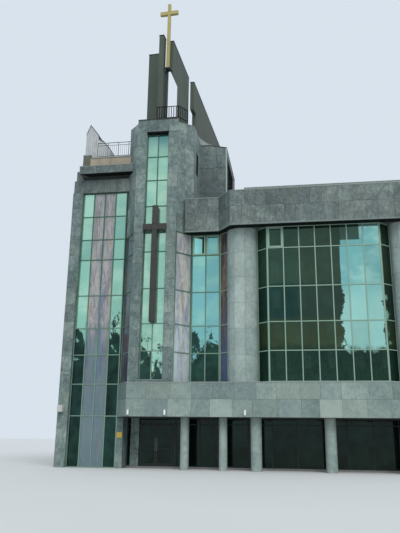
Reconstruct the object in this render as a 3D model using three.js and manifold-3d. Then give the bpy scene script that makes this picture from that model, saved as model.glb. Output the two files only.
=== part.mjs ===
// A modern church building: glazed wings, a tall front tower, a belfry of blades and a gilt cross.
// Millimetres, +Z up. The street front faces -Y and the long side of the building runs along X.
import * as THREE from 'three';
import { mergeVertices } from 'three/addons/utils/BufferGeometryUtils.js';
import Module from 'manifold-3d';

const wasm = await Module();
wasm.setup();

// Driving dimensions, with X measured from the tower's axis and Y from the tower's stone face.
const SEAT = 0.3125;
const WALL = 300;
const DEPTH = 19000;
const LEFT_END = -5450;
const RIGHT_END = 14800;

// Heights that the whole front shares.
const BAND_BOTTOM = 2700;
const SILL = 4500;
const TRANSOMS = [6150, 7700, 9650, 11850];
const FRIEZE_BOTTOM = 13120;
const UPPER_TRANSOM = 14600;
const LEFT_HEAD = 16150;
const TOWER_TRANSOMS = [6230, 7760, 9770, 11960, FRIEZE_BOTTOM, 14770, 16420, 17950];
const TOWER_HEAD = 19550;
const FRIEZE_TOP = 15200;
const TOWER_TOP = 20400;
const SLAB = 300;

// Floors and roofs.
const GROUND_SLAB_TOP = 100;
const FIRST_FLOOR_TOP = 3600;
const LEFT_ROOF_TOP = 17750;
const LEFT_PARAPET_TOP = 18550;
const PARAPET_LEFT = -5000;
const PEAK_FRONT = 2400;
const RIGHT_ROOF_TOP = 13600;
const SOFFIT_THICKNESS = 180;

// Tower plan.
const TOWER_FRONT_HALF = 1250;
const TOWER_HALF = 2030;
const CHEEK_BACK = 1200;
const TOWER_WALL = 350;
const CHEEK_DROP = 300;
const TOWER_DECK = TOWER_TOP - CHEEK_DROP;
const WINDOW_HALF = 680;
const WINDOW_SILL = SILL + 120;
const WINDOW_SETBACK = 180;

// Ground floor.
const GLAZING_LINE = 2050;
const BAND_FRONT = -100;
const BAND_WALL = 300;
const LEDGE_BACK = 1650;
const LEDGE_THICKNESS = 150;
const PILLAR_LEFT = -2050;
const PILLAR_RIGHT = -1700;
const DOOR_HALF = 950;
const DOOR_HEIGHT = 2350;
const DOOR_FRAME_HALF = 1100;
const COLUMN_Y = 700;
const PIVOT_GAP = 14;
const LEAF_FRONT = GLAZING_LINE + 5;
const LEAF_DEPTH = 45;
const LEAF_GAP = 8;
const LEAF_STILE = 90;

// Left wing.
const LEFT_GLASS_LEFT = -4870;
const LEFT_GLASS_FRONT = 1100;
const LEFT_FRONT = 1000;
const PILASTER_FRONT = 900;
const LEFT_BACK = 1450;

// Middle bay, pier and right wing.
const MIDDLE_LEFT = 2050;
const MIDDLE_RIGHT = 3700;
const MIDDLE_FRONT = 900;
const PIER_LEFT = 4220;
const PIER_RIGHT = 5850;
const PIER_SHOULDER = 450;
const PIER_BULGE = 500;
const RIGHT_GLASS_LEFT = 6450;
const RIGHT_BAYS = 7;
const BAY = 874;
const RIGHT_GLASS_RIGHT = RIGHT_GLASS_LEFT + RIGHT_BAYS * BAY;
const MIRROR = RIGHT_GLASS_LEFT + RIGHT_GLASS_RIGHT;
const RIGHT_GLASS_FRONT = -100;
const FRIEZE_LEFT = 1690;
const FRIEZE_FRONT = -600;
const FRIEZE_RECESS = 350;
const FRIEZE_BEND = 4450;
const FRIEZE_WALL = 250;

// Belfry, in its own turned group.
const BLADE_TOP = 27600;
const BRACKET_LEFT = -280;
const BRACKET_FRONT = -130;
const FRONT_BLADE_BACK = -330;
const PLATE_TOP = 25320;
const PLATE_THICKNESS = 100;

// Frames and glass.
const FRAME_DEPTH = 100;
const BAR = 60;
const GLASS = 30;

const STONE = { color: 0x7d8a86, roughness: 0.75 };
const PALE_STONE = { color: 0x98a39e, roughness: 0.7 };
const CONCRETE = { color: 0x57604f, roughness: 0.85 };
const PLASTER = { color: 0xa79a80, roughness: 0.85 };
const MINT_GLASS = { color: 0x96c8af, roughness: 0.08 };
const DARK_GLASS = { color: 0x324b41, roughness: 0.08 };
const COLOURED_GLASS = { color: 0x8d8fb0, roughness: 0.2 };
const FRAME_METAL = { color: 0x4c7a64, roughness: 0.45, metalness: 0.6 };
const DARK_METAL = { color: 0x24282a, roughness: 0.5, metalness: 0.7 };
const RIBBED_METAL = { color: 0xb9bdb6, roughness: 0.5, metalness: 0.5 };
const BROWN_CLADDING = { color: 0x554b4b, roughness: 0.55 };
const GILT = { color: 0xb0a060, roughness: 0.35, metalness: 0.8 };

// The building is laid out about the tower, then moved so that the origin is its footprint's middle.
const building = new THREE.Group();
building.position.set(-(LEFT_END + RIGHT_END) / 2, -(DEPTH + FRIEZE_FRONT) / 2, 0);

function add(name, geometry, finish, parent = building) {
  const mesh = new THREE.Mesh(geometry, new THREE.MeshStandardMaterial(finish));
  mesh.name = name;
  parent.add(mesh);
  return mesh;
}

// Solids from plain sizes.
function box([x0, x1], [y0, y1], [z0, z1]) {
  const geometry = new THREE.BoxGeometry(x1 - x0, y1 - y0, z1 - z0);
  return geometry.translate((x0 + x1) / 2, (y0 + y1) / 2, (z0 + z1) / 2);
}

function outline(points) {
  return new THREE.Shape(points.map(([u, v]) => new THREE.Vector2(u, v)));
}

function extrude(shape, depth, curveSegments = 12) {
  return new THREE.ExtrudeGeometry(shape, { depth, bevelEnabled: false, curveSegments });
}

// A plan outline raised from z0 to z1.
function raised(shape, [z0, z1], curveSegments) {
  return extrude(shape, z1 - z0, curveSegments).translate(0, 0, z0);
}

// An outline in Y and Z, run along X from x0 to x1.
function run(shape, [x0, x1]) {
  const across = new THREE.Matrix4().makeBasis(
    new THREE.Vector3(0, 1, 0),
    new THREE.Vector3(0, 0, 1),
    new THREE.Vector3(1, 0, 0),
  );
  return extrude(shape, x1 - x0).applyMatrix4(across).translate(x0, 0, 0);
}

// Booleans. Positions are first put on a fine grid, so that faces meant to be level are exactly level.
const GRID = 64;
const MERGE_TOLERANCE = 0.05;

function toManifold(geometry) {
  const bare = geometry.clone();
  bare.deleteAttribute('normal');
  bare.deleteAttribute('uv');
  const positions = bare.attributes.position.array;
  positions.forEach((value, i) => {
    positions[i] = Math.round(value * GRID) / GRID;
  });
  const merged = mergeVertices(bare, 1e-3);
  return new wasm.Manifold(
    new wasm.Mesh({
      numProp: 3,
      vertProperties: new Float32Array(merged.attributes.position.array),
      triVerts: new Uint32Array(merged.index.array),
    }),
  );
}

// Faces that lie in one plane are merged, so that no sliver is left where two pieces met.
function fromManifold(solid) {
  const mesh = solid.asOriginal().simplify(MERGE_TOLERANCE).getMesh();
  const geometry = new THREE.BufferGeometry();
  geometry.setAttribute('position', new THREE.BufferAttribute(mesh.vertProperties, 3));
  geometry.setIndex(new THREE.BufferAttribute(mesh.triVerts, 1));
  geometry.computeVertexNormals();
  return geometry;
}

function join(...geometries) {
  const [first, ...rest] = geometries.map(toManifold);
  return fromManifold(rest.reduce((whole, piece) => whole.add(piece), first));
}

function cut(geometry, ...tools) {
  const solids = tools.map(toManifold);
  return fromManifold(solids.reduce((left, tool) => left.subtract(tool), toManifold(geometry)));
}

function lineLength([ax, ay], [bx, by]) {
  return Math.hypot(bx - ax, by - ay);
}

// Places a solid drawn with X along, Y up and Z outward on the plan line from a to b, back from it.
function placeOnLine(geometry, a, b, back) {
  const [ax, ay] = a;
  const length = lineLength(a, b);
  const along = new THREE.Vector3((b[0] - ax) / length, (b[1] - ay) / length, 0);
  const up = new THREE.Vector3(0, 0, 1);
  const outward = new THREE.Vector3().crossVectors(along, up);
  const place = new THREE.Matrix4().makeBasis(along, up, outward);
  place.setPosition(ax - outward.x * back, ay - outward.y * back, 0);
  return geometry.applyMatrix4(place);
}

// A flat panel above the plan line from a to b: its face is the line, its thickness goes inward.
// Holes are given as [start, end, bottom, top].
function panel(a, b, [z0, z1], thickness, { setback = 0, holes = [] } = {}) {
  const blank = box([0, lineLength(a, b)], [z0, z1], [0, thickness]);
  const tools = holes.map(([u0, u1, v0, v1]) => box([u0, u1], [v0, v1], [-thickness, 2 * thickness]));
  const solid = tools.length ? cut(blank, ...tools) : blank;
  return placeOnLine(solid, a, b, setback + thickness);
}

// The bars of a frame: even columns of uprights, and rails at the ends and the transom heights.
function bars(length, columns, [z0, z1], transoms, bar, depth) {
  const pitch = (length - bar) / columns;
  const uprights = Array.from({ length: columns + 1 }, (_, i) => (
    box([i * pitch, i * pitch + bar], [z0, z1], [0, depth])
  ));
  const rails = [z0 + bar / 2, ...transoms, z1 - bar / 2].map((z) => (
    box([0, length], [z - bar / 2, z + bar / 2], [0, depth])
  ));
  return [...uprights, ...rails];
}

function frame(a, b, span, columns, transoms, options = {}) {
  const { setback = 0, bar = BAR, depth = FRAME_DEPTH } = options;
  const grid = join(...bars(lineLength(a, b), columns, span, transoms, bar, depth));
  return placeOnLine(grid, a, b, setback + depth);
}

// A frame whose panes are closed by a thin sheet in the middle of its depth.
function glazedFrame(a, b, span, columns, transoms, options = {}) {
  const { setback = 0, bar = BAR, depth = FRAME_DEPTH } = options;
  const edge = bar / 3;
  const length = lineLength(a, b);
  const middle = depth / 2;
  const sheet = box(
    [edge, length - edge],
    [span[0] + edge, span[1] - edge],
    [middle - GLASS / 2, middle + GLASS / 2],
  );
  const grid = join(...bars(length, columns, span, transoms, bar, depth), sheet);
  return placeOnLine(grid, a, b, setback + depth);
}

// Slabs and hidden walls.
function addSlabs() {
  const inside = [LEFT_END + WALL, RIGHT_END - WALL];
  const back = DEPTH - WALL;
  const stairHallBack = 4000;
  const slabLeft = PILLAR_RIGHT + 50;
  const slabFront = [[slabLeft, LEFT_GLASS_FRONT], [-TOWER_FRONT_HALF + 110, BAND_FRONT + BAND_WALL]];
  add('ground_slab', raised(outline([
    [inside[0], LEFT_BACK],
    [PILLAR_LEFT - 50, LEFT_BACK],
    [PILLAR_LEFT - 50, GLAZING_LINE + FRAME_DEPTH + 50],
    [PILLAR_RIGHT + SEAT, GLAZING_LINE + FRAME_DEPTH + 50],
    [PILLAR_RIGHT + SEAT, GLAZING_LINE - 50],
    [inside[1], GLAZING_LINE - 50],
    [inside[1], back],
    [inside[0], back],
  ]), [0, GROUND_SLAB_TOP]), STONE);
  const floor = raised(outline([
    ...slabFront,
    [inside[1], BAND_FRONT + BAND_WALL],
    [inside[1], back],
    [inside[0], back],
    [inside[0], stairHallBack],
    [slabLeft, stairHallBack],
  ]), [FIRST_FLOOR_TOP - SLAB, FIRST_FLOOR_TOP]);
  const soffitBack = GLAZING_LINE + 150;
  const soffit = raised(outline([
    ...slabFront,
    [inside[1], BAND_FRONT + BAND_WALL],
    [inside[1], soffitBack],
    [slabLeft, soffitBack],
  ]), [BAND_BOTTOM, FIRST_FLOOR_TOP - SLAB + 10]);
  add('first_floor', join(floor, soffit), CONCRETE);
  const post = TOWER_HALF - WALL;
  add('left_roof_slab', raised(outline([
    [inside[0], LEFT_BACK],
    [-TOWER_HALF, LEFT_BACK],
    [-TOWER_HALF, LEDGE_BACK],
    [-post, LEDGE_BACK],
    [-post, back],
    [inside[0], back],
  ]), [LEFT_ROOF_TOP - SLAB, LEFT_ROOF_TOP]), CONCRETE);
  const gutter = FRIEZE_RECESS + FRIEZE_WALL + 20;
  add('right_roof_slab', raised(outline([
    [MIDDLE_LEFT, gutter],
    [inside[1], gutter],
    [inside[1], back],
    [post, back],
    [post, LEDGE_BACK],
    [MIDDLE_LEFT, LEDGE_BACK],
  ]), [RIGHT_ROOF_TOP - SLAB, RIGHT_ROOF_TOP]), CONCRETE);
}

// Tall windows of the unseen sides, set out at even spacing between two ends.
function tallWindows(start, end, count, [z0, z1], width) {
  const pitch = (end - start) / count;
  return Array.from({ length: count }, (_, i) => {
    const middle = start + (i + 0.5) * pitch;
    return [middle - width / 2, middle + width / 2, z0, z1];
  });
}

function addSideAndRear() {
  const windowWidth = 1500;
  const pilaster = box([LEFT_END, LEFT_GLASS_LEFT], [PILASTER_FRONT, LEFT_BACK], [0, LEFT_HEAD]);
  const partyWall = raised(outline([
    [LEFT_END, LEFT_BACK - 10],
    [LEFT_END + WALL, LEFT_BACK - 10],
    [LEFT_END + WALL, DEPTH - WALL],
    [LEFT_END, DEPTH - WALL],
  ]), [0, LEFT_HEAD]);
  const across = [LEFT_END, LEFT_END + WALL];
  const upperWall = box(across, [LEFT_BACK, DEPTH - WALL], [LEFT_HEAD - 10, LEFT_ROOF_TOP]);
  const parapet = box(across, [PEAK_FRONT, DEPTH - WALL], [LEFT_HEAD, LEFT_PARAPET_TOP]);
  add('left_party_wall', join(pilaster, partyWall, upperWall, parapet), STONE);
  const sideLength = DEPTH - WALL - LEDGE_BACK;
  const sideWindows = tallWindows(0, sideLength, 4, [SILL, FRIEZE_BOTTOM], windowWidth);
  add('right_side_wall', panel(
    [RIGHT_END, LEDGE_BACK],
    [RIGHT_END, DEPTH - WALL],
    [0, FRIEZE_TOP],
    WALL,
    { holes: sideWindows },
  ), STONE);
  const glassSpan = [SILL - 150, FRIEZE_BOTTOM + 150];
  add('right_side_glass', box(
    [RIGHT_END - WALL - GLASS, RIGHT_END - WALL],
    [LEDGE_BACK + 900, DEPTH - WALL - 900],
    glassSpan,
  ), DARK_GLASS);
  const rearShape = outline([
    [LEFT_END, 0],
    [RIGHT_END, 0],
    [RIGHT_END, FRIEZE_TOP],
    [TOWER_HALF, FRIEZE_TOP],
    [TOWER_HALF, TOWER_TOP],
    [-TOWER_HALF, TOWER_TOP],
    [-TOWER_HALF, LEFT_PARAPET_TOP],
    [LEFT_END, LEFT_PARAPET_TOP],
  ]);
  const rearWindows = [
    ...tallWindows(LEFT_END, -TOWER_HALF, 1, [SILL, FRIEZE_BOTTOM], windowWidth),
    ...tallWindows(-TOWER_HALF, TOWER_HALF, 1, [SILL, FRIEZE_BOTTOM], windowWidth),
    ...tallWindows(TOWER_HALF, RIGHT_END, 4, [SILL, FRIEZE_BOTTOM], windowWidth),
  ];
  const rear = extrude(rearShape, WALL).rotateX(Math.PI / 2).translate(0, DEPTH, 0);
  const through = [DEPTH - 2 * WALL, DEPTH + WALL];
  const tools = rearWindows.map(([x0, x1, z0, z1]) => box([x0, x1], through, [z0, z1]));
  add('rear_wall', cut(rear, ...tools), STONE);
  add('rear_glass', box(
    [LEFT_END + WALL + 300, RIGHT_END - WALL - 300],
    [DEPTH - WALL - GLASS, DEPTH - WALL],
    glassSpan,
  ), DARK_GLASS);
}

// Left wing.
function addLeftWing() {
  const span = [0, LEFT_HEAD];
  const glassRight = PILLAR_LEFT;
  const a = [LEFT_GLASS_LEFT, LEFT_GLASS_FRONT];
  const b = [glassRight, LEFT_GLASS_FRONT];
  const transoms = [BAND_BOTTOM + 50, SILL, ...TRANSOMS, FRIEZE_BOTTOM, UPPER_TRANSOM];
  add('left_wing_glazing', glazedFrame(a, b, span, 4, transoms), MINT_GLASS);
  const recessBottom = 17000;
  const corniceBottom = 17250;
  const corniceFront = 500;
  const recess = LEFT_FRONT + 300;
  const profile = run(outline([
    [LEFT_FRONT, LEFT_HEAD],
    [LEFT_BACK, LEFT_HEAD],
    [LEFT_BACK, LEFT_ROOF_TOP],
    [corniceFront, LEFT_ROOF_TOP],
    [corniceFront, corniceBottom],
    [recess, corniceBottom],
    [recess, recessBottom],
    [LEFT_FRONT, recessBottom],
  ]), [LEFT_END, -TOWER_FRONT_HALF]);
  const shortEnd = box(
    [LEFT_END - WALL, PARAPET_LEFT],
    [corniceFront - WALL, recess],
    [corniceBottom, LEFT_ROOF_TOP + WALL],
  );
  add('left_frieze', clearOfTower(cut(profile, shortEnd)), STONE);
  addLeftParapet();
  addLeftRailing();
  addPeak();
}

// The parapet, with a return from its left end back to the peak.
function addLeftParapet() {
  const thickness = 250;
  const span = [LEFT_ROOF_TOP, LEFT_PARAPET_TOP];
  const front = box([PARAPET_LEFT, -TOWER_FRONT_HALF], [LEFT_FRONT, LEFT_FRONT + thickness], span);
  const back = box([PARAPET_LEFT, PARAPET_LEFT + thickness], [LEFT_FRONT, PEAK_FRONT - SEAT], span);
  add('left_parapet', clearOfTower(join(front, back)), PLASTER);
}

function addLeftRailing() {
  const top = LEFT_PARAPET_TOP + 1050;
  const bar = 30;
  const a = [-4150, LEFT_FRONT + 110];
  const b = [-TOWER_HALF, LEFT_FRONT + 110];
  const railing = frame(a, b, [LEFT_PARAPET_TOP, top], 16, [top - 190], { bar, depth: bar });
  add('left_roof_railing', railing, DARK_METAL);
}

// The pale ribbed peak at the left end, with its stepped right slope.
function addPeak() {
  const depth = 1100;
  const inner = LEFT_END + WALL + SEAT;
  const wallTop = LEFT_PARAPET_TOP + SEAT;
  const right = -3780;
  const shape = outline([
    [inner, LEFT_ROOF_TOP],
    [right, LEFT_ROOF_TOP],
    [right, 19860],
    [-4240, 20410],
    [-4560, 20600],
    [-4640, 20950],
    [-5180, 21660],
    [LEFT_END, 20960],
    [LEFT_END, wallTop],
    [inner, wallTop],
  ]);
  const peak = extrude(shape, depth).rotateX(Math.PI / 2).translate(0, PEAK_FRONT + depth, 0);
  add('left_roof_peak', peak, RIBBED_METAL);
}

// The inner edge of the tower's folded front: where the front wall meets the cheek, and where the
// cheek meets the long side wall.
function foldPoints() {
  const fold = [TOWER_HALF - TOWER_FRONT_HALF, CHEEK_BACK];
  const length = Math.hypot(...fold);
  const inset = [TOWER_FRONT_HALF - (fold[1] * WALL) / length, (fold[0] * WALL) / length];
  const at = (y) => [inset[0] + ((y - inset[1]) * fold[0]) / fold[1], y];
  return [at(TOWER_WALL), at(CHEEK_BACK)];
}

function mirrored(points) {
  return points.map(([x, y]) => [-x, y]).reverse();
}

// Cuts a solid back from the tower's folded front and long sides, with the seat's gap.
function clearOfTower(solid) {
  const side = [
    [TOWER_FRONT_HALF + SEAT, -SEAT],
    [TOWER_HALF + SEAT, CHEEK_BACK],
    [TOWER_HALF + SEAT, DEPTH],
  ];
  return cut(solid, raised(outline([...side, ...mirrored(side)]), [-WALL, 2 * TOWER_TOP]));
}

// What is cut off the tops of the cheeks, which fall from the long walls to the front wall.
function cheekSlopes() {
  const back = [-TOWER_HALF, CHEEK_BACK];
  const front = [-TOWER_FRONT_HALF, 0];
  const length = lineLength(back, front);
  const shape = outline([
    [0, TOWER_TOP],
    [length, TOWER_TOP - CHEEK_DROP],
    [length, TOWER_TOP + WALL],
    [0, TOWER_TOP + WALL],
  ]);
  const depth = TOWER_WALL + 100;
  const left = placeOnLine(extrude(shape, depth), back, front, depth);
  const right = fromManifold(toManifold(left).mirror([1, 0, 0]));
  return [left, right];
}

// Tower.
function addTower() {
  const [frontFold, sideFold] = foldPoints();
  const half = [[TOWER_FRONT_HALF, 0], [TOWER_HALF, CHEEK_BACK], sideFold, frontFold];
  const upper = raised(outline([...half, ...mirrored(half)]), [FRIEZE_BOTTOM, TOWER_TOP]);
  const lower = box([-TOWER_FRONT_HALF, TOWER_FRONT_HALF], [0, TOWER_WALL], [SILL, FRIEZE_BOTTOM + 10]);
  const windowHole = box([-WINDOW_HALF, WINDOW_HALF], [-WALL, 2 * WALL], [WINDOW_SILL, TOWER_HEAD]);
  add('tower_front_shell', cut(join(upper, lower), windowHole, ...cheekSlopes()), STONE);
  addTowerWindow();
  addSpine(frontFold, sideFold);
  addTowerRailing();
  addWallCross();
}

function addTowerWindow() {
  const half = WINDOW_HALF - SEAT;
  const span = [WINDOW_SILL + SEAT, TOWER_HEAD - SEAT];
  const options = { setback: WINDOW_SETBACK };
  const glazing = glazedFrame([-half, 0], [half, 0], span, 2, TOWER_TRANSOMS, options);
  add('tower_window', glazing, MINT_GLASS);
}

// The walls of the tower's long body above the wings' roofs, each with a post down to the sill.
function addSpine(frontFold, sideFold) {
  const back = DEPTH - WALL;
  const profile = (roofTop) => outline([
    [CHEEK_BACK, SILL],
    [LEDGE_BACK, SILL],
    [LEDGE_BACK, roofTop],
    [back, roofTop],
    [back, TOWER_TOP],
    [CHEEK_BACK, TOWER_TOP],
  ]);
  const slot = box([TOWER_HALF - 2 * WALL, TOWER_HALF + WALL], [2100, 2600], [17600, 19000]);
  const right = run(profile(RIGHT_ROOF_TOP), [TOWER_HALF - WALL, TOWER_HALF]);
  add('spine_left_wall', run(profile(LEFT_ROOF_TOP), [-TOWER_HALF, -TOWER_HALF + WALL]), STONE);
  add('spine_right_wall', cut(right, slot), STONE);
  const half = TOWER_HALF - WALL;
  const side = [
    [frontFold[0] - SEAT, TOWER_WALL],
    [sideFold[0] - SEAT, CHEEK_BACK],
    [half, CHEEK_BACK],
    [half, back],
  ];
  const roof = outline([...side, ...mirrored(side)]);
  add('spine_roof_slab', raised(roof, [TOWER_DECK - SLAB, TOWER_DECK]), CONCRETE);
}

// Everything under the right cheek's sloping top, for what stands on it.
function rightCheekBelow() {
  const front = [TOWER_FRONT_HALF, 0];
  const back = [TOWER_HALF, CHEEK_BACK];
  const length = lineLength(front, back);
  const rise = CHEEK_DROP / length;
  const over = WALL;
  const shape = outline([
    [-over, TOWER_DECK - 2 * WALL],
    [length, TOWER_DECK - 2 * WALL],
    [length, TOWER_TOP + SEAT],
    [-over, TOWER_DECK - over * rise + SEAT],
  ]);
  const depth = TOWER_WALL + WALL;
  return placeOnLine(extrude(shape, depth), front, back, depth);
}

function addTowerRailing() {
  const bar = 25;
  const inset = 120;
  const span = [TOWER_TOP, TOWER_TOP + 900];
  const corner = [TOWER_FRONT_HALF - 40, inset];
  const end = [TOWER_FRONT_HALF + 420, 760];
  const front = frame([-130, inset], corner, span, 9, [], { bar, depth: bar });
  const sideSpan = [TOWER_DECK - WALL, span[1]];
  const side = cut(frame(corner, end, sideSpan, 5, [], { bar, depth: bar }), rightCheekBelow());
  const post = box(
    [corner[0] - bar, corner[0] + bar / 2],
    [inset, inset + bar * 1.5],
    span,
  );
  add('tower_railing', join(front, side, post), DARK_METAL);
}

// The dark cross that stands proud of the tower window.
function addWallCross() {
  const shaft = 150;
  const shaftSpan = [7800, 14700];
  const arms = 690;
  const armSpan = [13200, 13560];
  const front = -170;
  const back = WINDOW_SETBACK - SEAT;
  const upright = box([-shaft, shaft], [front, back], shaftSpan);
  const crossbar = box([-arms, arms], [front, -SEAT], armSpan);
  add('tower_wall_cross', join(upright, crossbar), BROWN_CLADDING);
}

// Cuts a solid back from what stands beside it, with the seat's gap. Each neighbour is a plan
// rectangle of two ranges, taken over the full height.
function clearOf(solid, ...neighbours) {
  const grown = ([low, high]) => [low - SEAT, high + SEAT];
  const fullHeight = [-WALL, 2 * TOWER_TOP];
  return cut(solid, ...neighbours.map(([x, y]) => box(grown(x), grown(y), fullHeight)));
}

// Coloured corner panels, middle window and piers.
function addMiddleBay() {
  const span = [SILL, FRIEZE_BOTTOM];
  const towerWall = [[-TOWER_FRONT_HALF, TOWER_FRONT_HALF], [0, TOWER_WALL]];
  const leftPost = [[-TOWER_HALF, -TOWER_HALF + WALL], [CHEEK_BACK, LEDGE_BACK]];
  const towerCorner = [TOWER_FRONT_HALF, 5];
  const leftPanel = glazedFrame(
    [-TOWER_HALF, CHEEK_BACK - 30],
    [-towerCorner[0], towerCorner[1]],
    span,
    1,
    TRANSOMS,
  );
  const rightPanel = glazedFrame(towerCorner, [MIDDLE_LEFT - 5, MIDDLE_FRONT - 5], span, 1, TRANSOMS);
  add('tower_left_art_panel', clearOf(leftPanel, towerWall, leftPost), COLOURED_GLASS);
  add('tower_right_art_panel', clearOf(rightPanel, towerWall), COLOURED_GLASS);
  const a = [MIDDLE_LEFT, MIDDLE_FRONT];
  const b = [MIDDLE_RIGHT, MIDDLE_FRONT];
  const openLight = box(
    [MIDDLE_LEFT + BAR, (MIDDLE_LEFT + MIDDLE_RIGHT) / 2 - BAR / 2],
    [MIDDLE_FRONT - WALL, MIDDLE_FRONT + WALL],
    [TRANSOMS[3] + BAR / 2, FRIEZE_BOTTOM - BAR],
  );
  add('middle_window', cut(glazedFrame(a, b, span, 2, TRANSOMS), openLight), FRAME_METAL);
  const pier = [[PIER_LEFT, PIER_RIGHT], [PIER_SHOULDER - 100, LEDGE_BACK]];
  const pierPanel = glazedFrame(
    [MIDDLE_RIGHT + SEAT, MIDDLE_FRONT - 5],
    [PIER_LEFT, PIER_SHOULDER - 30],
    span,
    1,
    TRANSOMS,
  );
  add('pier_art_panel', clearOf(pierPanel, pier), COLOURED_GLASS);
  addOpenSash();
  addPiers(span);
}

// The upper left light of the middle window stands open, swung inward on its left edge.
function addOpenSash() {
  const width = 700;
  const height = [TRANSOMS[3] + 50, FRIEZE_BOTTOM - 60];
  const angle = THREE.MathUtils.degToRad(38);
  const hinge = [MIDDLE_LEFT + BAR / 2, MIDDLE_FRONT + FRAME_DEPTH + SEAT];
  const free = [hinge[0] + width * Math.cos(angle), hinge[1] + width * Math.sin(angle)];
  const sash = glazedFrame(hinge, free, height, 1, [], { depth: 50 });
  add('middle_open_sash', sash, FRAME_METAL);
}

function pierShape(left, right) {
  const middle = (left + right) / 2;
  const shape = new THREE.Shape();
  shape.moveTo(left, LEDGE_BACK);
  shape.lineTo(left, PIER_SHOULDER);
  shape.absellipse(middle, PIER_SHOULDER, (right - left) / 2, PIER_BULGE, Math.PI, 2 * Math.PI, false, 0);
  shape.lineTo(right, LEDGE_BACK);
  return shape;
}

function addPiers(span) {
  add('rounded_pier', raised(pierShape(PIER_LEFT, PIER_RIGHT), span, 16), PALE_STONE);
  const mirroredPier = pierShape(MIRROR - PIER_RIGHT, RIGHT_END);
  add('mirrored_pier', raised(mirroredPier, span, 16), PALE_STONE);
}

// Right wing.
function addRightWing() {
  const span = [SILL, FRIEZE_BOTTOM];
  const a = [RIGHT_GLASS_LEFT, RIGHT_GLASS_FRONT];
  const b = [RIGHT_GLASS_RIGHT, RIGHT_GLASS_FRONT];
  const shoulder = [PIER_RIGHT + SEAT, PIER_SHOULDER];
  const flip = ([x, y]) => [MIRROR - x, y];
  add('right_wing_glazing', join(
    glazedFrame(a, b, span, RIGHT_BAYS, TRANSOMS),
    glazedFrame(shoulder, a, span, 1, TRANSOMS),
    glazedFrame(b, flip(shoulder), span, 1, TRANSOMS),
  ), DARK_GLASS);
  addFrieze();
}

// The deep frieze: a wall with a soffit slab over the glazing and piers.
function addFrieze() {
  const wallReturn = 100;
  const front = [
    [FRIEZE_LEFT, FRIEZE_RECESS],
    [MIDDLE_RIGHT, FRIEZE_RECESS],
    [FRIEZE_BEND, FRIEZE_FRONT],
    [RIGHT_END, FRIEZE_FRONT],
    [RIGHT_END, LEDGE_BACK],
  ];
  const backOfWall = [
    [RIGHT_END - FRIEZE_WALL, LEDGE_BACK],
    [RIGHT_END - FRIEZE_WALL, FRIEZE_FRONT + FRIEZE_WALL],
    [FRIEZE_BEND + wallReturn, FRIEZE_FRONT + FRIEZE_WALL],
    [MIDDLE_RIGHT + wallReturn, FRIEZE_RECESS + FRIEZE_WALL],
    [FRIEZE_LEFT, FRIEZE_RECESS + FRIEZE_WALL],
  ];
  const wall = raised(outline([...front, ...backOfWall]), [FRIEZE_BOTTOM, FRIEZE_TOP]);
  const soffit = raised(
    outline([...front, [FRIEZE_LEFT, LEDGE_BACK]]),
    [FRIEZE_BOTTOM, FRIEZE_BOTTOM + SOFFIT_THICKNESS],
  );
  add('upper_frieze', clearOfTower(join(wall, soffit)), STONE);
}

// The band over the recessed ground floor, with the ledge behind it and a chamfered left return.
function addBand() {
  const chamfer = [[PILLAR_LEFT, LEFT_GLASS_FRONT - SEAT], [-TOWER_FRONT_HALF, BAND_FRONT]];
  const bandBack = BAND_FRONT + BAND_WALL;
  const face = raised(outline([
    chamfer[0],
    chamfer[1],
    [RIGHT_END, BAND_FRONT],
    [RIGHT_END, LEDGE_BACK],
    [RIGHT_END - WALL, LEDGE_BACK],
    [RIGHT_END - WALL, bandBack],
    [chamfer[1][0] + 100, bandBack],
    [chamfer[0][0] + 380, LEFT_GLASS_FRONT - SEAT],
  ]), [BAND_BOTTOM, SILL]);
  const ledge = raised(outline([
    [chamfer[0][0] + 200, LEFT_GLASS_FRONT - SEAT],
    [chamfer[1][0] + 60, bandBack - 100],
    [RIGHT_END, bandBack - 100],
    [RIGHT_END, LEDGE_BACK],
    [PILLAR_RIGHT + SEAT, LEDGE_BACK],
    [PILLAR_RIGHT + SEAT, LEFT_GLASS_FRONT - SEAT],
  ]), [SILL - LEDGE_THICKNESS, SILL]);
  add('spandrel_band', join(face, ledge), PALE_STONE);
}

function addGroundFloor() {
  const columnPlaces = [[1850, 240], [3920, 230], [5670, 300], [9510, 300], [MIRROR - 5670, 300]];
  columnPlaces.forEach(([x, radius], i) => {
    const column = new THREE.CylinderGeometry(radius, radius, BAND_BOTTOM, 20);
    column.rotateX(Math.PI / 2).translate(x, COLUMN_Y, BAND_BOTTOM / 2);
    add(`ground_column_${i + 1}`, column, PALE_STONE);
  });
  add('entrance_pillar', box(
    [PILLAR_LEFT, PILLAR_RIGHT],
    [LEFT_GLASS_FRONT, GLAZING_LINE + FRAME_DEPTH],
    [0, SILL],
  ), STONE);
  const span = [GROUND_SLAB_TOP, BAND_BOTTOM];
  const right = [[DOOR_FRAME_HALF, GLAZING_LINE], [RIGHT_END - WALL, GLAZING_LINE]];
  add('ground_glazing_right', glazedFrame(...right, span, 10, [DOOR_HEIGHT]), DARK_METAL);
  addEntrance();
}

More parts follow.
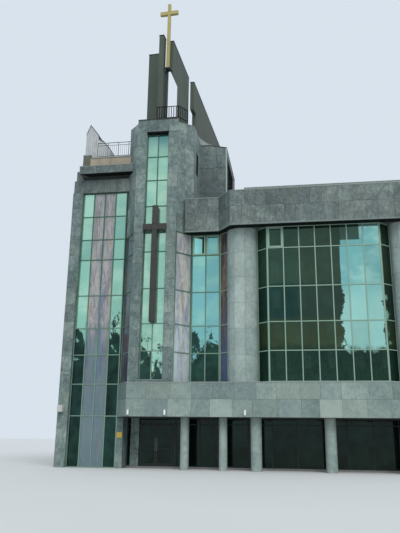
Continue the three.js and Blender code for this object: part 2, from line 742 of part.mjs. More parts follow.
// Entrance frame and its two glazed leaves on floor pivots.
function addEntrance() {
  const left = PILLAR_RIGHT + SEAT;
  const span = [GROUND_SLAB_TOP, BAND_BOTTOM];
  const at = (x) => [x, GLAZING_LINE];
  const side = glazedFrame(at(left), at(-DOOR_HALF), span, 1, [DOOR_HEIGHT]);
  const overDoor = [DOOR_HEIGHT, BAND_BOTTOM];
  const transomLight = glazedFrame(at(-DOOR_HALF - BAR), at(DOOR_FRAME_HALF), overDoor, 1, []);
  const jamb = box([DOOR_HALF, DOOR_FRAME_HALF], [GLAZING_LINE, GLAZING_LINE + FRAME_DEPTH], span);
  add('entrance_frame', join(side, transomLight, jamb), DARK_METAL);
  const pivot = DOOR_HALF - PIVOT_GAP;
  add('left_door_leaf', doorLeaf(1), DARK_METAL).position.set(-pivot, LEAF_FRONT, 0);
  add('right_door_leaf', doorLeaf(-1), DARK_METAL).position.set(pivot, LEAF_FRONT, 0);
}

// A leaf about its own pivot line: side 1 reaches toward +X, side -1 toward -X.
function doorLeaf(side) {
  const reach = DOOR_HALF - PIVOT_GAP - LEAF_GAP / 2;
  const bottom = GROUND_SLAB_TOP + LEAF_GAP;
  const top = DOOR_HEIGHT - LEAF_GAP;
  const kickRail = 160;
  const [start, end] = [0, side * reach].sort((p, q) => p - q);
  const opening = [LEAF_STILE, reach - LEAF_STILE, bottom + kickRail, top - LEAF_STILE];
  const leafFrame = panel([start, 0], [end, 0], [bottom, top], LEAF_DEPTH, { holes: [opening] });
  const pane = panel(
    [start + LEAF_STILE / 2, 0],
    [end - LEAF_STILE / 2, 0],
    [bottom + kickRail / 2, top - LEAF_STILE / 2],
    12,
    { setback: 16 },
  );
  return join(leafFrame, pane, pivotPin(), ...pullHandle(side * (reach - LEAF_STILE / 2), bottom));
}

// The pin that a leaf turns on, between the slab and the frame's head.
function pivotPin() {
  const height = DOOR_HEIGHT - GROUND_SLAB_TOP - 2 * SEAT;
  const pin = new THREE.CylinderGeometry(8, 8, height, 12);
  return pin.rotateX(Math.PI / 2).translate(0, 0, (DOOR_HEIGHT + GROUND_SLAB_TOP) / 2);
}

// An upright pull bar in front of a leaf, on two stubs.
function pullHandle(x, bottom) {
  const [low, high] = [bottom + 800, bottom + 1500];
  const bar = box([x - 15, x + 15], [-65, -40], [low, high]);
  const stubs = [low + 50, high - 80].map((z) => box([x - 10, x + 10], [-50, 5], [z, z + 30]));
  return [bar, ...stubs];
}

// The stair tower behind the tower's right side. Its roof falls to the right from a ridge.
function addStairTower() {
  const left = TOWER_HALF;
  const right = 3750;
  const front = 3850;
  const back = 9100;
  const thickness = 250;
  const span = [RIGHT_ROOF_TOP, TOWER_TOP];
  const plan = outline([
    [left, front],
    [right, front],
    [right, back],
    [left, back],
    [left, back - thickness],
    [right - thickness, back - thickness],
    [right - thickness, front + thickness],
    [left, front + thickness],
  ]);
  const niche = box([right - 130, right + 50], [4800, 7900], [17200, 19650]);
  const roof = box([left, right - 10], [front + 10, back - 10], [TOWER_TOP - 450, TOWER_TOP]);
  const ridge = left + 570;
  const eaves = TOWER_TOP - 250;
  const slope = outline([
    [ridge, TOWER_TOP],
    [right, eaves],
    [right + WALL, eaves],
    [right + WALL, TOWER_TOP + WALL],
    [ridge, TOWER_TOP + WALL],
  ]);
  const overSlope = extrude(slope, back - front + 2 * WALL);
  overSlope.rotateX(Math.PI / 2).translate(0, back + WALL, 0);
  add('stair_tower', cut(join(raised(plan, span), roof), niche, overSlope), STONE);
}

// The belfry, turned a little in plan, in its own group on the tower's deck.
function addBelfry() {
  const belfry = new THREE.Group();
  belfry.position.set(330, 2430, 0);
  belfry.rotation.z = -THREE.MathUtils.degToRad(3.4);
  building.add(belfry);
  const height = [TOWER_DECK + SEAT, BLADE_TOP];
  const frontBlade = box([-790, -480], [-880, FRONT_BLADE_BACK], height);
  add('belfry_left_blade', box([-2090, -1180], [1050, 1350], height), CONCRETE, belfry);
  add('belfry_front_blade', frontBlade, CONCRETE, belfry);
  add('belfry_bracket_blade', bracketBlade(height), CONCRETE, belfry);
  add('belfry_rear_blade', rearBlade(height), CONCRETE, belfry);
  const plateBottom = PLATE_TOP - PLATE_THICKNESS;
  const seatedBack = BRACKET_FRONT - SEAT;
  const plate = box([-450, -60], [-560, seatedBack], [plateBottom, PLATE_TOP]);
  const column = box(
    [-480, -295],
    [FRONT_BLADE_BACK + SEAT, seatedBack],
    [height[0], plateBottom + 10],
  );
  add('belfry_beam', join(plate, column), DARK_METAL, belfry);
  add('gold_cross', goldCross(PLATE_TOP + SEAT), GILT, belfry);
}

// The blade that carries the cross, over an opening whose head and back are splayed.
function bracketBlade([foot, top]) {
  const blade = box([BRACKET_LEFT, 0], [BRACKET_FRONT, 4400], [foot, top]);
  const ahead = BRACKET_FRONT - WALL;
  const rightEdge = { back: 1070, head: 24870 };
  const leftEdge = { back: 2150, head: 25500 };
  const below = foot - WALL;
  const corners = [[0, rightEdge], [BRACKET_LEFT, leftEdge]].flatMap(([x, { back, head }]) => [
    [x, ahead, below],
    [x, back, below],
    [x, ahead, head],
    [x, back, head],
  ]);
  return fromManifold(toManifold(blade).subtract(wasm.Manifold.hull(corners)));
}

// The long blade behind, notched at the foot of its front edge.
function rearBlade([foot, top]) {
  const front = 4950;
  const notch = { front: 5690, head: 25280 };
  const back = 15770;
  return run(outline([
    [front, top],
    [front, notch.head],
    [notch.front, notch.head],
    [notch.front, foot],
    [back, foot],
    [back, top],
  ]), [-20, 270]);
}

function goldCross(foot) {
  const half = 100;
  const x = -270;
  const y = -430;
  const top = 30300;
  const armHalf = 620;
  const arms = [29450, 29720];
  const post = box([x - half, x + half], [y - half, y + half], [foot, top]);
  const bar = box([x - armHalf, x + armHalf], [y - half, y + half], arms);
  return join(post, bar);
}

addSlabs();
addSideAndRear();
addLeftWing();
addTower();
addMiddleBay();
addRightWing();
addBand();
addGroundFloor();
addStairTower();
addBelfry();

export default building;
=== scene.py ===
"""Looks of a modern church building: stone slabs, glazed walls, a belfry of blades, a gilt cross.

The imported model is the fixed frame. The script clads its solids, glazes its openings, adds caps,
railings and fittings, lights a plain studio and sets the camera at street level. Sizes are metres
about the tower: X from its axis, Y from its stone face, Z from the ground.
"""

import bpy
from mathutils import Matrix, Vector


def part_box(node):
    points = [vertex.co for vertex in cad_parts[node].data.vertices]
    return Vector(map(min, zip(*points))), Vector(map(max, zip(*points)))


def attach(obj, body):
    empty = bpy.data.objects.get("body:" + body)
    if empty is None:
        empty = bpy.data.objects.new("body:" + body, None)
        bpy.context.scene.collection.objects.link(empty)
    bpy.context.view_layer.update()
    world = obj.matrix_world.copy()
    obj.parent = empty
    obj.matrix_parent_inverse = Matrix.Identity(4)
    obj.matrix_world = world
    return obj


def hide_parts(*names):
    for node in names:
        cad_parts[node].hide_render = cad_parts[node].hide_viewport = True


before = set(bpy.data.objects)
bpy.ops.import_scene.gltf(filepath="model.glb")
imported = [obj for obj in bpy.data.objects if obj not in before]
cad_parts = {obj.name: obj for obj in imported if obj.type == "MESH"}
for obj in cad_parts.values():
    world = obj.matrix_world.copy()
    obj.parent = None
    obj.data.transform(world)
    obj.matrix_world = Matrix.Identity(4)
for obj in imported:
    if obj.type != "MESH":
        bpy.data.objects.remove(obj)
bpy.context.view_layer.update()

import logging
import math
import random
from dataclasses import dataclass, replace
from enum import Enum
from functools import cache
from itertools import accumulate, pairwise
from typing import Callable, Sequence

import bmesh
import bpy
from mathutils import Matrix, Vector

log = logging.getLogger("church")

SHELL_LOW, SHELL_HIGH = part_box("tower_front_shell")
ORIGIN = Vector(((SHELL_LOW.x + SHELL_HIGH.x) / 2, SHELL_LOW.y, 0.0))

Colour = tuple[float, float, float]
Point = tuple[float, float]
Tone = tuple[float, float, float]

# Heights that the whole front shares.
BAND_BOTTOM = 2.7
SILL = 4.5
TRANSOMS = (6.15, 7.7, 9.65, 11.85)
FRIEZE_BOTTOM = 13.12
TOWER_TRANSOMS = (6.23, 7.76, 9.77, 11.96, FRIEZE_BOTTOM, 14.77, 16.42, 17.95)
FRIEZE_TOP = 15.2
TOWER_TOP = 20.4
UPPER_TRANSOM = 14.6
LEFT_HEAD = 16.15
LEFT_ROOF = 17.75
LEFT_TOP = 18.55
RIGHT_ROOF = 13.6
FLOOR_TOP = 0.1
CHEEK_DROP = 0.3

# Plan lines of the building.
LEFT_END = -5.45
PARAPET_LEFT = -5.0
PEAK_FRONT = 2.4
PEAK_BACK = 3.52
RIGHT_END = 14.8
REAR = 19.0
TOWER_HALF = 2.03
FRONT_HALF = 1.25
CHEEK_BACK = 1.2
LEDGE_BACK = 1.65
PILLAR_CORNER = (-2.05, 1.1)
STAIR_FRONT = 3.85
STAIR_BACK = 9.1
MIDDLE_RIGHT = 3.7
BEND = 4.45
FRIEZE_FRONT = -0.6
BAND_FRONT = -0.1
MIRROR = 19.018

# Stone slabs: how far they stand out, and how far they reach into the wall.
SLAB_THICKNESS = 0.02
BEDDING = 0.004


def colour(*channels: float) -> Colour:
    """Turns a colour of 0 to 255 a channel into linear light.

    Args:
        channels: Red, green and blue.

    Returns:
        The three linear channels.
    """
    shares = (value / 255 for value in channels)
    return tuple(s / 12.92 if s <= 0.04045 else ((s + 0.055) / 1.055) ** 2.4 for s in shares)


def tints(*colours: Colour) -> tuple[Colour, ...]:
    """Turns several colours of 0 to 255 a channel into linear light."""
    return tuple(colour(*each) for each in colours)


def straight(place: float, places: Sequence[float], values: Sequence[float]) -> float:
    """Reads a value that runs straight between places.

    Args:
        place: Where to read it.
        places: The places, in rising order.
        values: The value at each.

    Returns:
        The value there.
    """
    last = len(places) - 2
    i = next((k for k in range(last) if place <= places[k + 1]), last)
    a, b = places[i : i + 2]
    return values[i] + (values[i + 1] - values[i]) * (place - a) / (b - a)


class Wire:
    """One output of a shader node. Arithmetic on it adds Math nodes."""

    def __init__(self, shader: "Shader", socket: bpy.types.NodeSocket) -> None:
        """Keeps the shader and the socket."""
        self.shader = shader
        self.socket = socket

    def _math(self, operation: str, *operands: "Wire | float") -> "Wire":
        """Adds one Math node on the operands."""
        settings = {"operation": operation}
        return self.shader.node("ShaderNodeMath", settings, dict(enumerate(operands)))

    def __add__(self, other: "Wire | float") -> "Wire":
        """Adds."""
        return self._math("ADD", self, other)

    __radd__ = __add__

    def __mul__(self, other: "Wire | float") -> "Wire":
        """Multiplies."""
        return self._math("MULTIPLY", self, other)

    __rmul__ = __mul__

    def __sub__(self, other: "Wire | float") -> "Wire":
        """Subtracts."""
        return self._math("SUBTRACT", self, other)

    def __rsub__(self, other: float) -> "Wire":
        """Subtracts this from a number."""
        return self._math("SUBTRACT", other, self)

    def __truediv__(self, other: "Wire | float") -> "Wire":
        """Divides."""
        return self._math("DIVIDE", self, other)

    def sine(self) -> "Wire":
        """Takes the sine."""
        return self._math("SINE", self)

    def fraction(self) -> "Wire":
        """Keeps what follows the decimal point."""
        return self._math("FRACT", self)

    def size(self) -> "Wire":
        """Drops the sign."""
        return self._math("ABSOLUTE", self)

    def highest(self, other: "Wire | float") -> "Wire":
        """Keeps the larger of two values."""
        return self._math("MAXIMUM", self, other)

    def rise(self, low: float, high: float) -> "Wire":
        """Rises smoothly from 0 at low to 1 at high, or falls where low is the larger.

        Args:
            low: The value that gives 0.
            high: The value that gives 1.

        Returns:
            The smooth mask.
        """
        ends = (low, high, 0.0, 1.0) if low < high else (high, low, 1.0, 0.0)
        settings = {"interpolation_type": "SMOOTHSTEP"}
        return self.shader.node("ShaderNodeMapRange", settings, dict(enumerate((self, *ends))))


class Shader:
    """A material under construction, with the few kinds of node that the finishes share."""

    def __init__(self, name: str) -> None:
        """Starts a material.

        Args:
            name: The material's name.
        """
        self.material = bpy.data.materials.new(name)
        self.material.use_nodes = True
        self.tree = self.material.node_tree
        self.surface = self.tree.nodes["Principled BSDF"]

    def _feed(self, socket: bpy.types.NodeSocket, value: "Wire | float | Sequence[float]") -> None:
        """Links a wire to a socket, or sets its value.

        Args:
            socket: The socket.
            value: The wire, number, colour or vector for it.
        """
        if isinstance(value, Wire):
            self.tree.links.new(value.socket, socket)
        elif socket.type == "RGBA":
            socket.default_value = (*value[:3], 1.0)
        else:
            socket.default_value = value

    def node(self, kind: str, settings: dict, sockets: dict, output: int | str = 0) -> Wire:
        """Adds a node of any type.

        Args:
            kind: The node's type.
            settings: Its settings, and under "stops" a colour ramp's places and colours.
            sockets: Values or wires for its inputs, by name or number.
            output: The output to return.

        Returns:
            That output.
        """
        made = self.tree.nodes.new(kind)
        stops = settings.get("stops", ())
        for name, value in settings.items():
            if name != "stops":
                setattr(made, name, value)
        for _ in stops[2:]:
            made.color_ramp.elements.new(0.5)
        for i, (place, tint) in enumerate(stops):
            made.color_ramp.elements[i].position = place
            made.color_ramp.elements[i].color = (*tint, 1.0)
        for name, value in sockets.items():
            self._feed(made.inputs[name], value)
        return Wire(self, made.outputs[output])

    def place(self) -> Wire:
        """Gives the point on the object in metres about the tower."""
        point = self.node("ShaderNodeTexCoord", {}, {}, "Object")
        return self.vector("SUBTRACT", point, tuple(ORIGIN))

    def vector(self, operation: str, *operands: "Wire | Sequence[float]") -> Wire:
        """Adds one Vector Math node."""
        settings = {"operation": operation}
        return self.node("ShaderNodeVectorMath", settings, dict(enumerate(operands)))

    def join(self, x: "Wire | float", y: "Wire | float", z: "Wire | float") -> Wire:
        """Makes a vector of three parts."""
        return self.node("ShaderNodeCombineXYZ", {}, {0: x, 1: y, 2: z})

    def split(self, vector: Wire) -> tuple[Wire, ...]:
        """Gives a vector's three parts."""
        made = self.node("ShaderNodeSeparateXYZ", {}, {0: vector}).socket.node
        return tuple(Wire(self, output) for output in made.outputs)

    def tones(self) -> tuple[Wire, ...]:
        """Gives a slab's or pane's own tone, warmth and seed."""
        settings = {"attribute_name": "tone"}
        return self.split(self.node("ShaderNodeAttribute", settings, {}, "Vector"))

    def noise(
        self, point: Wire, scale: float, detail: float, rough: float, twist: float = 0.0
    ) -> Wire:
        """Adds cloudy noise.

        Args:
            point: Where to read it.
            scale: How many clouds a metre holds.
            detail: How many octaves it has.
            rough: How strong the small octaves are.
            twist: How far the clouds are drawn into swirls.

        Returns:
            The noise, from 0 to 1 and mostly near a half.
        """
        sockets = {"Vector": point, "Scale": scale, "Detail": detail, "Roughness": rough}
        return self.node("ShaderNodeTexNoise", {}, {**sockets, "Distortion": twist})

    def stretch(self, point: Wire, plan: float, upright: float) -> Wire:
        """Scales a point in plan and upward."""
        return self.vector("MULTIPLY", point, (plan, plan, upright))

    def ramp(self, value: Wire, *stops: tuple[float, Colour]) -> Wire:
        """Colours a value by stops."""
        return self.node("ShaderNodeValToRGB", {"stops": stops}, {0: value})

    def mix(self, share: "Wire | float", a: "Wire | Colour", b: "Wire | Colour") -> Wire:
        """Blends two colours."""
        return self.node("ShaderNodeMix", {"data_type": "RGBA"}, {0: share, 6: a, 7: b}, 2)

    def shade(self, tint: "Wire | Colour", amount: Wire) -> Wire:
        """Multiplies a colour by a grey amount."""
        return self.vector("MULTIPLY", tint, self.join(amount, amount, amount))

    def bump(self, height: Wire, strength: float, distance: float) -> Wire:
        """Turns a height into a normal."""
        sockets = {"Height": height, "Strength": strength, "Distance": distance}
        return self.node("ShaderNodeBump", {}, sockets)

    def finish(self, **sockets: "Wire | float | Colour") -> bpy.types.Material:
        """Feeds the shader's own sockets.

        Args:
            sockets: The values or wires, by the sockets' names with _ for a space.

        Returns:
            The material.
        """
        for name, value in sockets.items():
            self._feed(self.surface.inputs[name.replace("_", " ")], value)
        return self.material


class Finish:
    """A finish that makes its material once."""

    name: str

    def build(self) -> bpy.types.Material:
        """Makes the material."""
        raise NotImplementedError


@cache
def material_of(finish: Finish) -> bpy.types.Material:
    """Gives a finish's material, made on first use."""
    return finish.build()


@dataclass(frozen=True)
class StoneFinish(Finish):
    """Slate-like stone: each slab has its own tone, clouds and pale veins, under rain marks.

    Args:
        name: The material's name.
        dark: The darkest colour of a slab.
        middle: The commonest colour.
        pale: The lightest colour.
        warm: What warm slabs lean to.
        cool: What cool slabs lean to.
        contrast: How far slabs differ in tone.
        lean: How far slabs lean to the warm or cool colour.
        marks: How strong the rain marks are.
        mottle: How strong the small clouds within a slab are.
        rough: The middle roughness.
    """

    name: str
    dark: Colour
    middle: Colour
    pale: Colour
    warm: Colour
    cool: Colour
    contrast: float = 0.26
    lean: float = 0.22
    marks: float = 0.4
    mottle: float = 1.0
    rough: float = 0.58

    def build(self) -> bpy.types.Material:
        """Makes the material.

        Returns:
            The material.
        """
        s = Shader(self.name)
        point = s.place()
        tone, warmth, seed = s.tones()
        own = s.vector("ADD", point, s.join(seed * 37.0, seed * 71.0, seed * 13.0))
        cloud = s.noise(own, 1.5, 6.0, 0.62, 0.6)
        mottle = s.noise(s.stretch(own, 1.0, 0.6), 8.0, 6.0, 0.72, 0.4)
        vein = s.noise(own, 2.6, 5.0, 0.6, 1.6)
        grain = s.noise(point, 70.0, 3.0, 0.6)
        run = s.noise(s.stretch(point, 6.5, 0.4), 1.0, 7.0, 0.72)
        patch = s.noise(s.stretch(point, 1.0, 0.7), 0.45, 4.0, 0.6)
        level = (
            0.5
            + (tone - 0.5) * self.contrast
            + (cloud - 0.5) * 1.3 * self.mottle
            + (mottle - 0.5) * 1.35 * self.mottle
            + (patch - 0.5) * 1.1 * self.mottle
        )
        base = s.ramp(level, (0.12, self.dark), (0.5, self.middle), (0.88, self.pale))
        base = s.mix(warmth.rise(0.5, 0.95) * self.lean, base, self.warm)
        base = s.mix(warmth.rise(0.5, 0.05) * self.lean, base, self.cool)
        threads = (vein - 0.5).size().rise(0.035, 0.0) * 0.34
        base = s.mix(threads, base, self.pale)
        grime = run.rise(0.53, 0.76) * self.marks
        base = s.mix(grime, base, tuple(0.45 * c for c in self.dark))
        wash = run.rise(0.45, 0.24) * self.marks * 0.8
        base = s.mix(wash, base, self.pale)
        base = s.shade(base, 0.86 + grain * 0.28)
        return s.finish(
            Base_Color=base,
            Roughness=self.rough + (cloud - 0.5) * 0.3 + grime * 0.25,
            Normal=s.bump(grain * 0.35 + mottle * 0.65, 0.45, 0.006),
        )


@dataclass(frozen=True)
class PlainFinish(Finish):
    """Render, concrete or membrane: one colour with clouds, stains, joints and a fine surface.

    Args:
        name: The material's name.
        dark: The darker colour.
        pale: The lighter colour.
        stain: The colour of runs and stains.
        grain: How many grains a metre holds.
        marks: How strong the stains are.
        lift: The height between joints, or 0 for none.
        seam: The width between upright joints, or 0 for none.
        rough: The middle roughness.
        relief: The depth of the surface's grain.
        shine: How strongly the surface mirrors.
    """

    name: str
    dark: Colour
    pale: Colour
    stain: Colour
    grain: float = 60.0
    marks: float = 0.4
    lift: float = 0.0
    seam: float = 0.0
    rough: float = 0.8
    relief: float = 0.004
    shine: float = 0.5

    def build(self) -> bpy.types.Material:
        """Makes the material.

        Returns:
            The material.
        """
        s = Shader(self.name)
        point = s.place()
        x, y, z = s.split(point)
        cloud = s.noise(point, 0.6, 6.0, 0.62)
        speck = s.noise(point, self.grain, 3.0, 0.65)
        run = s.noise(s.stretch(point, 3.2, 0.22), 1.0, 5.0, 0.6)
        base = s.ramp(cloud + (speck - 0.5) * 0.3, (0.3, self.dark), (0.7, self.pale))
        grime = run.rise(0.5, 0.75) * self.marks
        base = s.mix(grime, base, self.stain)
        height = speck
        spans = [z / self.lift] if self.lift else []
        if self.seam:
            spans.append((x + y * 0.9) / self.seam)
        if spans:
            grooves = [(span.fraction() - 0.5).size().rise(0.488, 0.497) for span in spans]
            groove = grooves[0].highest(grooves[-1])
            base = s.mix(groove * 0.6, base, self.stain)
            height = speck - groove * 2.0
        return s.finish(
            Base_Color=base,
            Roughness=self.rough + (cloud - 0.5) * 0.2,
            Specular_IOR_Level=self.shine,
            Normal=s.bump(height, 0.5, self.relief),
        )


@dataclass(frozen=True)
class MetalFinish(Finish):
    """Painted, anodised or gilt metal with faint runs, dust and a brushed surface.

    Args:
        name: The material's name.
        base: The metal's colour.
        dust: The colour of dust and wear.
        metallic: How metallic it is.
        rough: The middle roughness.
        dusty: How much dust it has.
        coat: The weight of its clear coat.
        shine: How strongly its bare surface mirrors.
        low: Its colour near the ground, or none where it is the same.
    """

    name: str
    base: Colour
    dust: Colour
    metallic: float
    rough: float
    dusty: float = 0.35
    coat: float = 0.0
    shine: float = 0.5
    low: Colour | None = None

    def build(self) -> bpy.types.Material:
        """Makes the material.

        Returns:
            The material.
        """
        s = Shader(self.name)
        point = s.place()
        height = s.split(point)[2]
        run = s.noise(s.stretch(point, 9.0, 0.5), 1.0, 4.0, 0.6)
        cloud = s.noise(point, 2.2, 5.0, 0.6)
        brushed = s.noise(s.stretch(point, 140.0, 6.0), 1.0, 2.0, 0.5)
        base = s.mix(height.rise(13.0, 5.0), self.base, self.low or self.base)
        wear = (run * 0.6 + cloud * 0.4).rise(0.48, 0.72) * self.dusty
        base = s.mix(wear, base, self.dust)
        base = s.shade(base, 0.9 + brushed * 0.2)
        return s.finish(
            Base_Color=base,
            Metallic=self.metallic - wear * self.metallic * 0.5,
            Roughness=self.rough + wear * 0.4 + (brushed - 0.5) * 0.12,
            Coat_Weight=self.coat,
            Specular_IOR_Level=self.shine,
            Normal=s.bump(brushed * 0.5 + cloud * 0.5, 0.15, 0.003),
        )


class Sky(Enum):
    """Where a coated pane's painted reflection is bright and where it is shade, over its height and
    width.
    """

    CLEAR_ABOVE = "bright above, mottled shade below"
    SHADE_WITH_GAP = "shade, with one bright gap"
    SHADE = "shade throughout"


@dataclass(frozen=True)
class GlassFinish(Finish):
    """Coated glass: painted reflections of a bright sky and of deep shade, pane by pane, under a
    faint film.

    Args:
        name: The material's name.
        bright: The painted reflection of a clear sky.
        cloud: The painted reflection of a cloud.
        blue: What the painted reflection leans to on some panes and near the tower window's head.
        deep: The painted reflections of shade, from the lowest up.
        levels: The height of each of those tints.
        sky: How bright and shade lie.
        low: The height where a clear sky begins, for CLEAR_ABOVE.
        high: The height where it is whole, for CLEAR_ABOVE.
        metallic: How far the coating mirrors.
        glow: How strongly the pane glows with its painted sky reflection, as light given off though
            it is no lamp.
    """

    name: str
    bright: Colour
    cloud: Colour
    blue: Colour
    deep: tuple[Colour, ...]
    levels: tuple[float, ...] = (4.5, 13.0)
    sky: Sky = Sky.CLEAR_ABOVE
    low: float = 5.0
    high: float = 12.0
    metallic: float = 0.75
    glow: float = 0.0

    def _open(self, s: Shader, point: Wire, tone: Wire) -> Wire:
        """Gives how much of the painted sky reflection shows at each point.

        Args:
            s: The shader.
            point: The point.
            tone: The pane's tone.

        Returns:
            The share of the bright tint.
        """
        x, _, z = s.split(point)
        ragged = s.noise(s.stretch(point, 1.0, 0.75), 1.7, 8.0, 0.72, 0.5) - 0.5
        if self.sky is Sky.CLEAR_ABOVE:
            height = (z - self.low) / (self.high - self.low)
            return (height + ragged * 2.0 + (tone - 0.5) * 0.25).rise(0.43, 0.57)
        if self.sky is Sky.SHADE_WITH_GAP:
            edge = x + ragged * 0.14 + (tone - 0.5) * 0.08 + (ragged * 1.4) * z.rise(9.6, 8.9)
            corner = z.rise(12.15, 12.2) * x.rise(11.5, 11.44)
            across = edge.rise(10.38, 10.43) * (1.0 - corner * 0.92) * edge.rise(12.62, 12.56)
            return across * (z + ragged * 1.6).rise(6.0, 6.4)
        return (ragged + (tone - 0.5) * 0.3).rise(0.12, 0.4) * 0.3

    def _shade(self, s: Shader, point: Wire, own: Wire) -> Wire:
        """Gives the painted reflection of shade at each point: banks of shade and, beside a bright
        gap, painted reflections of a building's upright blocks, an olive patch and dark twigs.

        Args:
            s: The shader.
            point: The point.
            own: The point, moved apart for each pane.

        Returns:
            The tint.
        """
        x, _, z = s.split(point)
        murk = s.noise(own, 1.2, 7.0, 0.66)
        low, high = SILL, FRIEZE_BOTTOM
        height = (z + (murk - 0.5) * 0.9 - low) / (high - low)
        places = ((level - low) / (high - low) for level in self.levels)
        deep = s.ramp(height, *zip(places, self.deep))
        if self.sky is Sky.SHADE_WITH_GAP:
            # Painted reflections of a building's windows, of an olive wall and of twigs.
            upright = (((x + z * 0.04) / 1.35).fraction() - 0.4).size().rise(0.17, 0.15)
            block = upright * ((z / 1.62).fraction() - 0.5).size().rise(0.3, 0.27)
            deep = s.mix(block * 0.12, deep, colour(92, 118, 106))
            deep = s.mix(x.rise(7.6, 8.6) * z.rise(6.2, 8.4) * 0.5, deep, colour(66, 82, 66))
            twigs = s.noise(s.stretch(own, 1.0, 0.8), 3.2, 7.0, 0.7, 0.8)
            painted_twig_reflection = (twigs - 0.5).size().rise(0.028, 0.008) * z.rise(6.4, 5.9)
            deep = s.shade(deep, 0.85 + (murk - 0.5) * 0.7)
            return s.mix(painted_twig_reflection * 0.7, deep, colour(20, 34, 30))
        return s.shade(deep, 0.55 + murk.rise(0.3, 0.72) * 0.95)

    def build(self) -> bpy.types.Material:
        """Makes the material.

        Returns:
            The material.
        """
        s = Shader(self.name)
        point = s.place()
        tone, warmth, seed = s.tones()
        height = s.split(point)[2]
        opened = self._open(s, point, tone)
        own = s.vector("ADD", point, s.join(seed * 0.4, 0.0, seed * 0.9))
        drift = s.noise(s.stretch(own, 0.5, 0.8), 0.8, 4.0, 0.55)
        bright = s.mix(drift.rise(0.42, 0.62), self.bright, self.cloud)
        if self.sky is Sky.SHADE_WITH_GAP:
            bright = s.mix(height.rise(10.2, 8.6) * 0.75, bright, self.cloud)
        bright = s.mix(warmth.rise(0.75, 0.95) * 0.16, bright, self.blue)
        # Painted reflection: the panes lean to the blue tint near the tower window's head.
        head = (height + (drift - 0.5) * 1.6).rise(18.0, 19.5)
        bright = s.mix(head * (0.45 + warmth * 0.5), bright, self.blue)
        film = s.noise(s.stretch(point, 14.0, 1.2), 1.0, 5.0, 0.7)
        base = s.mix(opened, self._shade(s, point, own), bright)
        base = s.shade(base, 0.93 + (tone - 0.5) * 0.22 + (film - 0.5) * 0.12)
        ripple = s.noise(own, 0.9, 2.0, 0.4)
        return s.finish(
            Base_Color=base,
            Metallic=self.metallic,
            Roughness=0.06 + film.rise(0.5, 0.8) * 0.12,
            # The glow gives off the painted reflection as light.
            Emission_Color=base,
            Emission_Strength=self.glow,
            Normal=s.bump(ripple, 0.08, 0.03),
        )


@dataclass(frozen=True)
class ColouredGlassFinish(Finish):
    """Painted glass: fine upright brush strokes with broken, swaying ribbons in two colours.

    Args:
        name: The material's name.
        strokes: The colours of the brush strokes.
        foot: What the strokes fade to near the ground.
        ribbons: The two colours of the ribbons.
        period: The distance between ribbons.
        sway: How far the ribbons sway.
        reach: The height of one sway.
        peak: Where the ribbons are strongest.
        fade: How far the strokes fade near the ground.
    """

    name: str
    strokes: tuple[Colour, ...]
    foot: Colour
    ribbons: tuple[Colour, Colour]
    period: float = 0.9
    sway: float = 0.16
    reach: float = 4.3
    peak: float = 8.5
    fade: float = 0.85

    def build(self) -> bpy.types.Material:
        """Makes the material.

        Returns:
            The material.
        """
        s = Shader(self.name)
        point = s.place()
        tone = s.tones()[0]
        x, y, z = s.split(point)
        broad = s.noise(s.stretch(point, 3.6, 0.55), 1.0, 6.0, 0.7, 0.4)
        fine = s.noise(s.stretch(point, 20.0, 1.5), 1.0, 5.0, 0.75, 0.3)
        level = (broad - 0.5) * 1.7 + (fine - 0.5) * 1.3 + 0.5
        last = len(self.strokes) - 1
        base = s.ramp(level, *((i / last, tint) for i, tint in enumerate(self.strokes)))
        feet = (z + (broad - 0.5) * 3.0).rise(9.0, 6.0)
        base = s.mix(feet * self.fade, base, self.foot)
        across = x + y * 0.6 + (broad - 0.5) * 0.9
        for side, tint in enumerate(self.ribbons):
            swing = (z * (2 * math.pi / self.reach) + 2.4 * side).sine() * self.sway
            offset = ((across + swing) / self.period + 0.5 * side).fraction() - 0.5
            breaks = s.noise(s.stretch(point, 2.0, 0.7), 1.0 + side, 3.0, 0.6)
            shown = offset.size().rise(0.2, 0.1) * breaks.rise(0.42, 0.55)
            height = (z - self.peak).size().rise(5.5, 1.0)
            base = s.mix(shown * (0.25 + height * 0.45) * fine.rise(0.36, 0.6), base, tint)
        dark = tuple(0.45 * c for c in self.strokes[0])
        base = s.mix(fine.rise(0.44, 0.3) * 0.6, base, dark)
        base = s.shade(base, 0.92 + tone * 0.16)
        return s.finish(
            Base_Color=base,
            Roughness=0.22 + fine * 0.15,
            Metallic=0.15,
            Coat_Weight=0.4,
            Normal=s.bump(fine, 0.2, 0.004),
        )


TOWER_STONE = StoneFinish(
    "tower_stone",
    *tints((62, 79, 78), (98, 115, 112), (142, 157, 150), (120, 129, 114), (80, 99, 102)),
    marks=0.55,
)
FRIEZE_STONE = StoneFinish(
    "frieze_stone",
    *tints((58, 70, 69), (89, 102, 99), (128, 141, 134), (106, 114, 102), (72, 86, 88)),
    marks=0.65,
)
BAND_STONE = StoneFinish(
    "band_stone",
    *tints((92, 110, 106), (122, 140, 134), (156, 171, 163), (140, 149, 134), (104, 122, 124)),
    contrast=0.55, lean=0.35, marks=0.22, mottle=0.6,
)
PIER_STONE = StoneFinish(
    "pier_stone",
    *tints((108, 126, 122), (138, 154, 148), (168, 182, 175), (148, 155, 142), (118, 134, 136)),
    lean=0.25, marks=0.3, mottle=0.7,
)
SIDE_STONE = StoneFinish(
    "side_stone",
    *tints((76, 92, 92), (106, 122, 118), (140, 152, 146), (124, 131, 118), (90, 106, 112)),
    marks=0.35,
)
STAIR_STONE = StoneFinish(
    "stair_stone",
    *tints((48, 61, 63), (76, 92, 92), (112, 128, 124), (90, 100, 94), (62, 78, 84)),
    marks=0.65,
)
END_STONE = StoneFinish(
    "end_stone",
    *tints((64, 66, 54), (88, 90, 76), (118, 120, 104), (104, 98, 78), (76, 84, 78)),
    marks=0.6,
)
BEDDING_RENDER = PlainFinish(
    "slab_bedding", *tints((66, 73, 71), (88, 96, 92), (40, 45, 44)), marks=0.5
)
